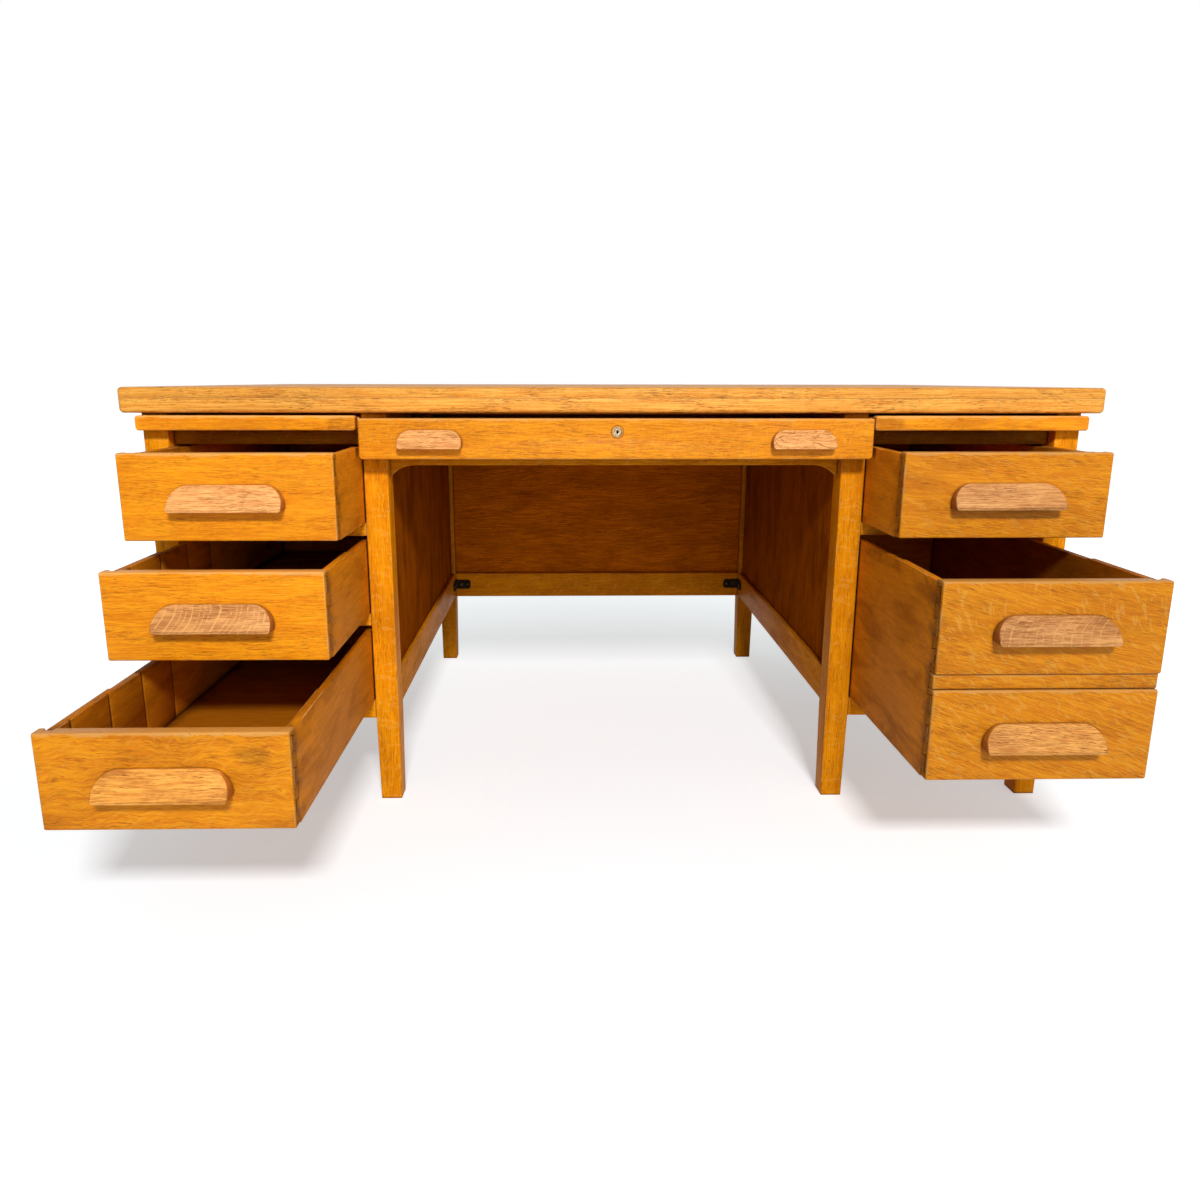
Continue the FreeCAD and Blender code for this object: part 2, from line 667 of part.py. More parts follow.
def screw_head(name, centre, facing):
    """Low head, a cone frustum, on the front face of a rail or on the leg at the left or the right."""
    head = doc.addObject("Part::Cone", name)
    head.setExpression("Radius1", times(size("screw_diameter"), 0.5))
    head.setExpression("Radius2", times(size("screw_crown"), 0.5))
    head.setExpression("Height", size("screw_rise"))
    turns = {"front": ((1, 0, 0), 90), "left": ((0, 1, 0), 90), "right": ((0, 1, 0), -90)}
    axis, angle = turns[facing]
    head.Placement = FreeCAD.Placement(FreeCAD.Vector(), FreeCAD.Rotation(FreeCAD.Vector(*axis), angle))
    place(head, centre[0], back_from_front(centre[1]), centre[2])
    return head


def make_centre_runners():
    """Runners of the centre drawer, fixed to the kneehole faces of the side rails."""
    near = add(less(HALF_KNEEHOLE, size("centre_runner_width")), size("rail_setback"))
    height = size("apron_height")
    runners = []
    for side in (LEFT, RIGHT):
        x = low_x(side, near, add(near, size("centre_runner_width")))
        corner = (x, back_from_front(size("leg_width")), less(APRON_TOP, height))
        runners.append(block(f"centre_runner_{SIDE_NAMES[side]}", corner,
                             (size("centre_runner_width"), size("centre_length"), height)))
    keep("centre_runners", runners)


# ---------------------------------------------------------------- handles

def handle(name, kind, x, y, z):
    """D-shaped pull: sloping face, quarter-round ends and a finger groove from below.

    The back of the pull lies at y, the middle of its lower edge at x and z.
    """
    prefix = f"{kind}_" if kind else ""
    width = size(f"{prefix}handle_width")
    height = size(f"{prefix}handle_height")
    reach = size(f"{prefix}handle_reach")
    curve = size(f"{prefix}handle_round")
    half = times(width, 0.5)
    body = doc.addObject("PartDesign::Body", name)

    outline = new_sketch(body, f"{name}_outline", "XZ_Plane")
    corners = ((minus(half), "0"), (half, "0"), (half, less(height, curve)),
               (less(half, curve), height), (minus(less(half, curve)), height),
               (minus(half), less(height, curve)))
    for start, end in ((0, 1), (1, 2), (3, 4), (5, 0)):
        add_pinned_line(outline, corners[start], corners[end])
    inset = value(less(half, curve))
    level = value(less(height, curve))
    add_arc(outline, (1, 2), (2, 1), (inset, level), curve, (0, QUARTER_TURN))
    add_arc(outline, (2, 2), (3, 1), (-inset, level), curve, (QUARTER_TURN, 2 * QUARTER_TURN))
    extrude(body, "Pad", f"{name}_pad", outline, reach)

    slope = new_sketch(body, f"{name}_slope", "YZ_Plane", add(half, OVERCUT))
    nose = size("handle_nose")
    crest = size("handle_crest")
    beyond = minus(add(reach, OVERCUT))
    above = add(height, OVERCUT)
    add_outline(slope, ((minus(reach), nose), (minus(crest), height), (minus(crest), above),
                        (beyond, above), (beyond, nose)))
    extrude(body, "Pocket", f"{name}_face", slope, add(width, 2 * OVERCUT))

    wall = size("handle_wall")
    groove = new_sketch(body, f"{name}_groove", "YZ_Plane", less(half, wall))
    depth = less(height, wall, wall)
    hollow = less(reach, wall)
    add_outline(groove, ((OVERCUT, minus(OVERCUT)), (OVERCUT, depth), (minus(crest), depth),
                         (minus(hollow), nose), (minus(hollow), minus(OVERCUT))))
    extrude(body, "Pocket", f"{name}_hollow", groove, less(width, wall, wall))

    front = value(reach)
    round_edges(body, f"{name}_arris", size("handle_arris_radius"),
                lambda box: on_front_face(box, front) and box.ZMin > TOLERANCE and runs_along("x", box))
    place(body, x, y, z)
    return body


# ---------------------------------------------------------------- drawers

def tail_corners(height, tail, overrun):
    """Corners of one dovetail, from its root at the front's back face to its end."""
    middle = times(height, f"{tail + 0.5} / {TAILS}")
    root = times(size("tail_root"), 0.5)
    tip = times(size("tail_tip"), 0.5)
    end = minus(size("tail_length"))
    corners = [(overrun, less(middle, root)), (end, less(middle, tip)),
               (end, add(middle, tip)), (overrun, add(middle, root))]
    if overrun != "0":
        corners.insert(1, ("0", less(middle, root)))
        corners.insert(4, ("0", add(middle, root)))
    return corners


def front_board(name, side, height, with_groove=True):
    """Drawer front with dovetail sockets on its kneehole end and a housing on its outer end.

    Its own x runs over its width, its back face is at y = 0 and its lower edge at z = 0.
    """
    body = doc.addObject("PartDesign::Body", name)
    outline = new_sketch(body, f"{name}_outline", "XZ_Plane")
    add_rectangle(outline, "0", "0", FRONT_WIDTH, height)
    extrude(body, "Pad", f"{name}_pad", outline, size("front_thickness"))
    thickness = value(size("front_thickness"))
    round_edges(body, f"{name}_arris", size("front_arris_radius"),
                lambda box: on_front_face(box, thickness))

    inner_end = FRONT_WIDTH if side == LEFT else "0"
    sockets = new_sketch(body, f"{name}_socket_outline", "YZ_Plane", inner_end)
    for tail in range(TAILS):
        add_outline(sockets, tail_corners(height, tail, str(OVERCUT)))
    extrude(body, "Pocket", f"{name}_sockets", sockets, size("drawer_side_thickness"), side == RIGHT)

    outer = outer_side_x(side)
    housing = new_sketch(body, f"{name}_housing_outline", "XY_Plane")
    add_rectangle(housing, outer, minus(size("housing_depth")),
                  add(outer, size("drawer_side_thickness")), OVERCUT)
    extrude(body, "Pocket", f"{name}_housing", housing, height, reverse=True)

    if with_groove:
        groove = new_sketch(body, f"{name}_groove_outline", "XZ_Plane")
        near, far = inside_span(side)
        low = size("bottom_rise")
        add_rectangle(groove, near, low, far, add(low, size("bottom_thickness")))
        extrude(body, "Pocket", f"{name}_groove", groove, size("groove_depth"), reverse=True)
    return body


def outer_side_x(side):
    """Lower x of the outer drawer side, from the front's left end."""
    if side == LEFT:
        return size("front_overlap")
    return less(FRONT_WIDTH, size("front_overlap"), size("drawer_side_thickness"))


def inner_side_x(side):
    """Lower x of the kneehole drawer side, from the front's left end."""
    return less(FRONT_WIDTH, size("drawer_side_thickness")) if side == LEFT else "0"


def inside_span(side):
    """Lower and upper x of the space between the drawer's sides."""
    low = outer_side_x(side) if side == LEFT else inner_side_x(side)
    high = inner_side_x(side) if side == LEFT else outer_side_x(side)
    return add(low, size("drawer_side_thickness")), high


def drawer_side(name, side, inner, fronts, height, slots):
    """Drawer side: tails or a plain end in front, and a groove for the bottom.

    fronts lists the lower level and the height of each front board that the side meets.
    """
    body = doc.addObject("PartDesign::Body", name)
    thick = size("drawer_side_thickness")
    length = less(DRAWER_LENGTH, size("front_thickness"))
    top = less(height, size("side_drop"))
    bottom = minus(less(size("gap_below"), size("running_gap")))
    corners = [("0", top), (length, top), (length, bottom), ("0", bottom)]
    if inner:
        for level, front_height in fronts:
            for tail in range(TAILS):
                for y, z in tail_corners(front_height, tail, "0"):
                    corners.append((y, add(level, z)))
    else:
        end = minus(size("housing_depth"))
        for level, front_height in fronts:
            upper = add(level, front_height) if level != fronts[-1][0] else top
            corners += [("0", level), (end, level), (end, upper), ("0", upper)]
        corners = merge_ends(corners)
    outline = new_sketch(body, f"{name}_outline", "YZ_Plane")
    add_outline(outline, corners)
    extrude(body, "Pad", f"{name}_pad", outline, thick)

    inside_at_zero = inner == (side == LEFT)
    plane = "0" if inside_at_zero else thick
    groove = new_sketch(body, f"{name}_groove_outline", "YZ_Plane", plane)
    add_rectangle(groove, "0", size("bottom_rise"), add(length, OVERCUT),
                  add(size("bottom_rise"), size("bottom_thickness")))
    extrude(body, "Pocket", f"{name}_groove", groove, size("groove_depth"), inside_at_zero)
    if slots:
        cut = new_sketch(body, f"{name}_slot_outline", "YZ_Plane", plane)
        floor = add(size("bottom_rise"), size("bottom_thickness"))
        for slot in range(SLOTS):
            start = add(size("first_slot"), times(size("divider_slot_pitch"), slot))
            add_rectangle(cut, start, floor, add(start, size("divider_slot_width")), add(top, OVERCUT))
        extrude(body, "Pocket", f"{name}_slots", cut, size("divider_slot_depth"), inside_at_zero)
    return body


def merge_ends(corners):
    """Outline without a corner that repeats the one before it."""
    merged = []
    for corner in corners:
        point = (value(corner[0]), value(corner[1]))
        if not merged or point != (value(merged[-1][0]), value(merged[-1][1])):
            merged.append(corner)
    first = (value(merged[0][0]), value(merged[0][1]))
    last = (value(merged[-1][0]), value(merged[-1][1]))
    return merged[:-1] if first == last else merged


def make_pedestal_drawer(label, side, tier, tiers_high, opening, slots=False):
    """One pedestal drawer: front, box, bottom and a handle on each tier that it fills."""
    x = low_x(side, add(INNER_OPENING, size("side_gap")), less(OUTER_OPENING, size("side_gap")))
    y = back_from_front(less(size("front_thickness"), opening))
    level = add(tier_floor(tier), size("gap_below"))
    height = add(FRONT_HEIGHT, times(TIER_PITCH, tiers_high - 1))

    boards = []
    fronts = []
    if tiers_high == 1:
        fronts.append(("0", FRONT_HEIGHT))
    else:
        lower = less(TIER_PITCH, size("divider_height"), size("gap_below"))
        upper = less(TIER_PITCH, size("gap_below"))
        fronts.append(("0", lower))
        fronts.append((upper, less(height, upper)))
        strip_depth = less(size("front_thickness"), size("strip_recess"))
        boards.append(block(f"{label}_strip", (x, less(y, strip_depth), add(level, lower)),
                            (FRONT_WIDTH, strip_depth, less(upper, lower))))
    for index, (bottom, front_height) in enumerate(fronts):
        piece = front_board(f"{label}_front_{index}", side, front_height, with_groove=index == 0)
        place(piece, x, y, add(level, bottom))
        boards.append(piece)
    keep(f"{label}_front", boards if len(boards) > 1 else boards[0])

    box = []
    for edge, inner, edge_x in (("inner", True, inner_side_x(side)), ("outer", False, outer_side_x(side))):
        piece = drawer_side(f"{label}_{edge}_side", side, inner, fronts, height,
                            slots and not inner)
        place(piece, add(x, edge_x), y, level)
        box.append(piece)
    near, far = inside_span(side)
    length = less(DRAWER_LENGTH, size("front_thickness"))
    floor = add(size("bottom_rise"), size("bottom_thickness"))
    thick = size("drawer_side_thickness")
    box.append(block(f"{label}_back", (add(x, near), less(add(y, length), thick), add(level, floor)),
                     (less(far, near), thick, less(height, size("side_drop"), floor))))
    keep(f"{label}_box", box)

    groove = size("groove_depth")
    keep(f"{label}_bottom", block(
        f"{label}_bottom_board",
        (less(add(x, near), groove), y, add(level, size("bottom_rise"))),
        (add(less(far, near), groove, groove), length, size("bottom_thickness"))))

    handles = []
    for index, (bottom, front_height) in enumerate(fronts):
        lift = times(less(front_height, size("handle_height")), 0.5)
        handles.append(handle(
            f"{label}_handle_{index}", "", add(x, times(FRONT_WIDTH, 0.5)),
            less(y, size("front_thickness")), add(level, bottom, lift)))
    keep(f"{label}_handle", handles if len(handles) > 1 else handles[0])


def make_centre_drawer():
    """Wide shallow drawer over the kneehole, its front lapped over the inner legs."""
    half = add(HALF_KNEEHOLE, size("centre_cover"))
    y = back_from_front(minus(size("open_centre")))
    height = size("centre_front_height")
    thick = size("front_thickness")
    body = doc.addObject("PartDesign::Body", "centre_front_body")
    outline = new_sketch(body, "centre_front_outline", "XZ_Plane")
    add_rectangle(outline, minus(half), "0", half, height)
    extrude(body, "Pad", "centre_front_pad", outline, thick)
    thickness = value(thick)
    round_edges(body, "centre_front_corners", size("centre_corner_radius"),
                lambda box: runs_along("y", box) and box.ZMax < TOLERANCE)
    round_edges(body, "centre_front_arris", size("front_arris_radius"),
                lambda box: on_front_face(box, thickness))

    side_thick = size("drawer_side_thickness")
    box_half = less(add(HALF_KNEEHOLE, size("rail_setback")), size("centre_side_gap"))
    box_bottom = less(add(APRON_TOP, size("running_gap")), CENTRE_FRONT_BOTTOM)
    housings = new_sketch(body, "centre_housing_outline", "XZ_Plane")
    box_top = add(box_bottom, size("centre_side_height"))
    for low in (minus(box_half), less(box_half, side_thick)):
        add_rectangle(housings, low, box_bottom, add(low, side_thick), box_top)
    extrude(body, "Pocket", "centre_housings", housings, size("housing_depth"), reverse=True)
    groove = new_sketch(body, "centre_groove_outline", "XZ_Plane")
    inside = less(box_half, side_thick)
    floor = add(box_bottom, size("groove_depth"))
    add_rectangle(groove, minus(inside), floor, inside, add(floor, size("bottom_thickness")))
    extrude(body, "Pocket", "centre_groove", groove, size("groove_depth"), reverse=True)
    cut_lock_seat(body, height)
    place(body, "0", y, CENTRE_FRONT_BOTTOM)
    keep("centre_front", body)

    box = []
    length = size("centre_length")
    for side in (LEFT, RIGHT):
        name = f"centre_side_{SIDE_NAMES[side]}"
        piece = doc.addObject("PartDesign::Body", name)
        outline = new_sketch(piece, f"{name}_outline", "YZ_Plane")
        add_rectangle(outline, minus(size("housing_depth")), "0", length, size("centre_side_height"))
        extrude(piece, "Pad", f"{name}_pad", outline, side_thick)
        plane = side_thick if side == LEFT else "0"
        groove = new_sketch(piece, f"{name}_groove_outline", "YZ_Plane", plane)
        add_rectangle(groove, "0", size("groove_depth"), add(length, OVERCUT),
                      add(size("groove_depth"), size("bottom_thickness")))
        extrude(piece, "Pocket", f"{name}_groove", groove, size("groove_depth"), side == RIGHT)
        place(piece, low_x(side, inside, box_half), y, add(CENTRE_FRONT_BOTTOM, box_bottom))
        box.append(piece)
    above_bottom = add(size("groove_depth"), size("bottom_thickness"))
    box.append(block(
        "centre_back", (minus(inside), less(add(y, length), side_thick),
                        add(CENTRE_FRONT_BOTTOM, box_bottom, above_bottom)),
        (times(inside, 2), side_thick, less(size("centre_side_height"), above_bottom))))
    keep("centre_box", box)
    wide = add(inside, size("groove_depth"))
    keep("centre_bottom", block(
        "centre_bottom_board", (minus(wide), y, add(CENTRE_FRONT_BOTTOM, floor)),
        (times(wide, 2), length, size("bottom_thickness"))))

    handles = []
    lift = times(less(height, size("small_handle_height")), 0.5)
    for side in (LEFT, RIGHT):
        offset = size("small_handle_offset")
        handles.append(handle(f"centre_handle_{SIDE_NAMES[side]}", "small", low_x(side, offset, offset),
                              less(y, thick), add(CENTRE_FRONT_BOTTOM, lift)))
    keep("centre_handles", handles)
    make_lock(y)


# ---------------------------------------------------------------- lock

def cut_lock_seat(body, height):
    """Seat for the lock case in the back of the centre front, and the barrel's hole."""
    half = times(size("lock_width"), 0.5)
    seat = new_sketch(body, "lock_seat_outline", "XZ_Plane")
    add_rectangle(seat, minus(half), less(height, size("lock_height")), half, add(height, OVERCUT))
    extrude(body, "Pocket", "lock_seat", seat, size("lock_thickness"), reverse=True)
    hole = new_sketch(body, "barrel_hole_outline", "XZ_Plane")
    add_circle(hole, less(height, size("barrel_depth")), size("barrel_diameter"))
    extrude(body, "Pocket", "barrel_hole", hole, add(size("front_thickness"), OVERCUT), reverse=True)


def add_circle(sketch, height, diameter):
    """Circle on the sketch's upright middle line."""
    centre = FreeCAD.Vector(0, value(height), 0)
    circle = Part.Circle(centre, FreeCAD.Vector(0, 0, 1), value(diameter) / 2)
    index = sketch.addGeometry(circle, False)
    pin_point(sketch, index, 3, "0", height)
    rule = sketch.addConstraint(Sketcher.Constraint("Diameter", index, value(diameter)))
    sketch.setExpression(f"Constraints[{rule}]", str(diameter))


def make_lock(y):
    """Lock of the centre drawer: case with barrel, turning plug and rising bolt."""
    height = size("centre_front_height")
    centre = less(height, size("barrel_depth"))
    half = times(size("lock_width"), 0.5)
    play = size("plug_gap")
    body = doc.addObject("PartDesign::Body", "lock_case_body")
    case = new_sketch(body, "lock_case_outline", "XZ_Plane")
    add_rectangle(case, minus(half), less(height, size("lock_height")), half, height)
    extrude(body, "Pad", "lock_case_pad", case, size("lock_thickness"))
    barrel = new_sketch(body, "barrel_outline", "XZ_Plane")
    add_circle(barrel, centre, size("barrel_diameter"))
    reach = add(size("front_thickness"), size("barrel_proud"))
    extrude(body, "Pad", "barrel_pad", barrel, reach)

    bolt_front = add(size("bolt_inset"), size("bolt_thickness"), play)
    bore = new_sketch(body, "plug_bore_outline", "XZ_Plane", reach)
    add_circle(bore, centre, add(size("plug_diameter"), play, play))
    plug_length = less(reach, bolt_front, size("plug_wall"))
    extrude(body, "Pocket", "plug_bore", bore, add(plug_length, play))

    channel = new_sketch(body, "bolt_channel_outline", "XY_Plane", add(height, OVERCUT))
    bolt_half = add(times(size("bolt_width"), 0.5), play)
    add_rectangle(channel, minus(bolt_half), minus(bolt_front), bolt_half,
                  minus(less(size("bolt_inset"), play)))
    extrude(body, "Pocket", "bolt_channel", channel, add(size("bolt_length"), play, OVERCUT))
    place(body, "0", y, CENTRE_FRONT_BOTTOM)
    keep("lock_case", body)

    plug = doc.addObject("PartDesign::Body", "lock_plug_body")
    outline = new_sketch(plug, "plug_outline", "XZ_Plane")
    add_circle(outline, "0", size("plug_diameter"))
    extrude(plug, "Pad", "plug_pad", outline, plug_length)
    keyhole = new_sketch(plug, "keyhole_outline", "XZ_Plane", plug_length)
    slot = times(size("keyhole_width"), 0.5)
    tall = times(size("keyhole_height"), 0.5)
    add_rectangle(keyhole, minus(slot), minus(tall), slot, tall)
    extrude(plug, "Pocket", "keyhole", keyhole, size("keyhole_depth"))
    place(plug, "0", less(y, reach, minus(plug_length)), add(CENTRE_FRONT_BOTTOM, centre))
    keep("lock_plug", plug)

    corner = (minus(times(size("bolt_width"), 0.5)),
              less(y, size("bolt_inset"), size("bolt_thickness")),
              less(CENTRE_FRONT_TOP, size("bolt_length")))
    keep("lock_bolt", block("lock_bolt_box", corner,
                            (size("bolt_width"), size("bolt_thickness"), size("bolt_length"))))


# ---------------------------------------------------------------- writing slides

def make_writing_slide(side):
    """Writing slide: a board on its bearers, with a lip that covers the outer leg's face."""
    name = f"writing_slide_{SIDE_NAMES[side]}"
    front = minus(size("open_slides"))
    near = add(INNER_OPENING, size("side_gap"))
    plank = block(f"{name}_board", (low_x(side, near, less(OUTER_OPENING, size("side_gap"))),
                                    back_from_front(front), SLIDE_BOTTOM),
                  (FRONT_WIDTH, size("slide_length"), size("slide_thickness")))
    lip_near = add(INNER_OPENING, size("lip_reach"))
    lip = doc.addObject("PartDesign::Body", f"{name}_lip")
    outline = new_sketch(lip, f"{name}_lip_outline", "XZ_Plane")
    add_rectangle(outline, "0", "0", less(OUTER_FACE, lip_near), size("lip_height"))
    extrude(lip, "Pad", f"{name}_lip_pad", outline, size("lip_thickness"))
    round_edges(lip, f"{name}_lip_corners", size("lip_radius"), lambda box: runs_along("y", box))
    thickness = value(size("lip_thickness"))
    round_edges(lip, f"{name}_lip_arris", size("front_arris_radius"),
                lambda box: on_front_face(box, thickness))
    place(lip, low_x(side, lip_near, OUTER_FACE), back_from_front(front), LIP_BOTTOM)
    keep(name, [plank, lip])


def make_desk():
    """All sub-parts, from the top down."""
    make_top()
    make_legs()
    make_side_frames()
    make_back_frames()
    make_front_rails()
    make_runners()
    make_apron()
    make_brackets()
    make_centre_runners()
    make_pedestal_drawer("left_top", LEFT, 2, 1, size("open_left_top"))
    make_pedestal_drawer("left_middle", LEFT, 1, 1, size("open_left_middle"), slots=True)
    make_pedestal_drawer("left_bottom", LEFT, 0, 1, size("open_left_bottom"), slots=True)
    make_pedestal_drawer("right_top", RIGHT, 2, 1, size("open_right_top"))
    make_pedestal_drawer("right_deep", RIGHT, 0, 2, size("open_right_deep"))
    make_centre_drawer()
    for side in (LEFT, RIGHT):
        make_writing_slide(side)


def write_nodes():
    """Check the document, then write each node's shape to its own file."""
    doc.recompute()
    for item in doc.Objects:
        if "Invalid" in item.State or "Error" in item.State:
            raise RuntimeError(f"{item.Label} did not rebuild: {item.State}")
    for node in nodes:
        if node.Shape.isNull() or not node.Shape.isValid():
            raise RuntimeError(f"{node.Label} has no valid shape")
    os.makedirs("parts", exist_ok=True)
    for node in nodes:
        node.Shape.exportStep(f"parts/{node.Label}.step")
    print(f"{len(nodes)} nodes written")


make_desk()
write_nodes()
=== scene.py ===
"""Golden oak pedestal desk: worn lacquered boards, carved pulls, hardware and a plain studio.

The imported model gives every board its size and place. Its boards are copied, given worn arrises
and told which way their grain runs. The top, the pulls, the screws and the two bearer rails are
modelled here. Lengths are in metres: -Y faces the sitter, +Z is up.
"""

from __future__ import annotations

import json
import logging
import math
import random
from collections import Counter
from collections.abc import Callable, Iterable, Iterator
from contextlib import contextmanager
from dataclasses import dataclass, field, replace
from enum import Enum

import bmesh
import bpy
import numpy as np
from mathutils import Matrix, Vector

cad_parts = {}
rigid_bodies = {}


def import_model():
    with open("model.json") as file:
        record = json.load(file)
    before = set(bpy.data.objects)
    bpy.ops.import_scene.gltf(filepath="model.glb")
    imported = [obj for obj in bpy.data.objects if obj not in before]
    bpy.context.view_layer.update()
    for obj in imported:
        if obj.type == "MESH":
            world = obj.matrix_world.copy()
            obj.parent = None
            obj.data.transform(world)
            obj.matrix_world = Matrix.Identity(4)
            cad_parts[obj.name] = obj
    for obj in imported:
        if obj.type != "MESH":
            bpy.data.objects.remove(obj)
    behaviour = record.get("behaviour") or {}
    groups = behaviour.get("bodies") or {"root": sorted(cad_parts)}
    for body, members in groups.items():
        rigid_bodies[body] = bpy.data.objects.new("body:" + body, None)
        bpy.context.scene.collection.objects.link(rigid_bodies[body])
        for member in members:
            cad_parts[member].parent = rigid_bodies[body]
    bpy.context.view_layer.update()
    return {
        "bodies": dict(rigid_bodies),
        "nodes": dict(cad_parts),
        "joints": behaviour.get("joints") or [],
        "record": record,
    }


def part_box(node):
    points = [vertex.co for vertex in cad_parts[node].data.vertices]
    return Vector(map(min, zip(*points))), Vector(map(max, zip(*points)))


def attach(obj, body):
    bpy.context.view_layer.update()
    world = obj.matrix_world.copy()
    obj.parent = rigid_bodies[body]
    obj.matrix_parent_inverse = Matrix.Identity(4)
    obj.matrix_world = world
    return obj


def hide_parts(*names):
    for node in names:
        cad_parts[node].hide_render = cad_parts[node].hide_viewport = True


log = logging.getLogger("pedestal_desk")

Socket = bpy.types.NodeSocket
Triple = tuple[float, float, float]
Paint = tuple[int, int, int]
Term = Socket | float | tuple[float, ...]
Box = tuple[Vector, Vector]
Test = Callable[..., bool]

TOUCH = 1e-5
"""Two places closer than this are the same."""
NOWHERE = (0.0, 0.0, 0.0)


class Grain(Enum):
    """Direction in which a board's grain runs."""

    ALONG_X = 0
    ALONG_Y = 1
    ALONG_Z = 2
    LONGEST = 3


class Side(Enum):
    """Side of the desk, as the sitter sees it."""

    LEFT = "left"
    RIGHT = "right"


def colour(paint: Paint) -> tuple[float, float, float, float]:
    """Turn a display colour, 0 to 255, into the linear one with an alpha that shaders take."""
    shares = [level / 255 for level in paint]
    return (*(share / 12.92 if share <= 0.04045 else ((share + 0.055) / 1.055) ** 2.4
              for share in shares), 1.0)


# ---------------------------------------------------------------- wiring of shaders


@dataclass(frozen=True)
class Weave:
    """Noise stretched along the grain: its pace along and across, octaves, their strength, warp."""

    along: float
    across: float
    detail: float = 2.0
    rough: float = 0.5
    warp: float = 0.0


class Wiring:
    """Adds and joins the nodes of one shader tree."""

    def __init__(self, tree: bpy.types.NodeTree) -> None:
        """Keep the tree that is wired."""
        self.tree = tree

    def feed(self, socket: Socket, term: Term) -> None:
        """Link a socket to another, or give it a plain value."""
        if isinstance(term, bpy.types.NodeSocket):
            self.tree.links.new(term, socket)
        else:
            socket.default_value = term

    def add(self, kind: str, *terms: Term, **settings: object) -> bpy.types.Node:
        """Add a node.

        Args:
            kind: Blender's name of the node type, without its first word.
            terms: What the node's first inputs get.
            settings: Properties of the node by name.

        Returns:
            The new node.
        """
        node = self.tree.nodes.new(f"ShaderNode{kind}")
        for name, setting in settings.items():
            setattr(node, name, setting)
        for socket, term in zip(node.inputs, terms):
            self.feed(socket, term)
        return node

    def fill(self, node: bpy.types.Node, **terms: Term) -> bpy.types.Node:
        """Feed a node's inputs by title, with _ for a space, and return the node."""
        for title, term in terms.items():
            self.feed(node.inputs[title.replace("_", " ")], term)
        return node

    def maths(self, operation: str, *terms: Term, clamp: bool = False) -> Socket:
        """Add a Math node and return its result, kept between 0 and 1 where clamp says so."""
        return self.add("Math", *terms, operation=operation, use_clamp=clamp).outputs[0]

    def times(self, first: Term, second: Term, clamp: bool = False) -> Socket:
        """Multiply two values."""
        return self.maths("MULTIPLY", first, second, clamp=clamp)

    def plus(self, first: Term, second: Term, clamp: bool = False) -> Socket:
        """Add two values."""
        return self.maths("ADD", first, second, clamp=clamp)

    def less(self, first: Term, second: Term) -> Socket:
        """Subtract the second value from the first."""
        return self.maths("SUBTRACT", first, second)

    def vectors(self, operation: str, *terms: Term) -> Socket:
        """Add a Vector Math node and return its vector."""
        return self.add("VectorMath", *terms, operation=operation).outputs["Vector"]

    def distance(self, first: Term, second: Term) -> Socket:
        """Measure from one place to another."""
        return self.add("VectorMath", first, second, operation="DISTANCE").outputs["Value"]

    def split(self, vector: Term) -> tuple[Socket, ...]:
        """Split a vector into its three parts."""
        return tuple(self.add("SeparateXYZ", vector).outputs)

    def join(self, *parts: Term) -> Socket:
        """Join three values into a vector."""
        return self.add("CombineXYZ", *parts).outputs[0]

    def noise(self, vector: Term, detail: float = 2.0, rough: float = 0.5,
              warp: float = 0.0) -> Socket:
        """Read noise, about 0 to 1, at a vector that is already scaled."""
        return self.fill(self.add("TexNoise"), Vector=vector, Scale=1.0, Detail=detail,
                         Roughness=rough, Distortion=warp).outputs["Fac"]

    def weave(self, where: Term, weave: Weave) -> Socket:
        """Read noise that is stretched along the grain."""
        scale = (weave.along, weave.across, weave.across)
        return self.noise(self.vectors("MULTIPLY", where, scale), weave.detail, weave.rough,
                          weave.warp)

    def ease(self, term: Term, low: Term, high: Term, first: float = 0.0,
             last: float = 1.0) -> Socket:
        """Ease smoothly from one value to another as a term passes from low to high.

        Args:
            term: The value that is read.
            low: Where the change starts.
            high: Where it ends.
            first: Result at the start.
            last: Result at the end.

        Returns:
            The eased value's socket.
        """
        node = self.add("MapRange", interpolation_type="SMOOTHSTEP", clamp=True)
        return self.fill(node, Value=term, From_Min=low, From_Max=high, To_Min=first,
                         To_Max=last).outputs["Result"]

    def mix(self, share: Term, first: Term, second: Term, blend: str = "MIX") -> Socket:
        """Mix a share of a second colour into a first one."""
        node = self.add("Mix", share, data_type="RGBA", blend_type=blend)
        colours = [socket for socket in node.inputs if socket.type == "RGBA"]
        self.feed(colours[0], first)
        self.feed(colours[1], second)
        return next(socket for socket in node.outputs if socket.type == "RGBA")

    def cover(self, under: Term, mask: Term, amount: Term, over: Paint) -> Socket:
        """Cover a colour with a display colour, as strongly as mask and amount say."""
        return self.mix(self.times(mask, amount, clamp=True), under, colour(over))

    def hollows(self, reach: float, open_share: float, shut_share: float) -> Socket:
        """Mask the hollows of a surface, from the share of open air to the shut one, where shade is
        painted in.
        """
        node = self.fill(self.add("AmbientOcclusion", samples=6), Distance=reach)
        return self.ease(node.outputs["AO"], open_share, shut_share)

    def bump(self, strength: float, depth: float, height: Term) -> Socket:
        """Turn heights into a bumpy normal."""
        return self.fill(self.add("Bump"), Strength=strength, Distance=depth,
                         Height=height).outputs["Normal"]

    def show(self, shader: bpy.types.Node, kind: str = "OutputMaterial") -> None:
        """Send a shader to the surface of a material or the world."""
        self.fill(self.add(kind), Surface=shader.outputs[0])


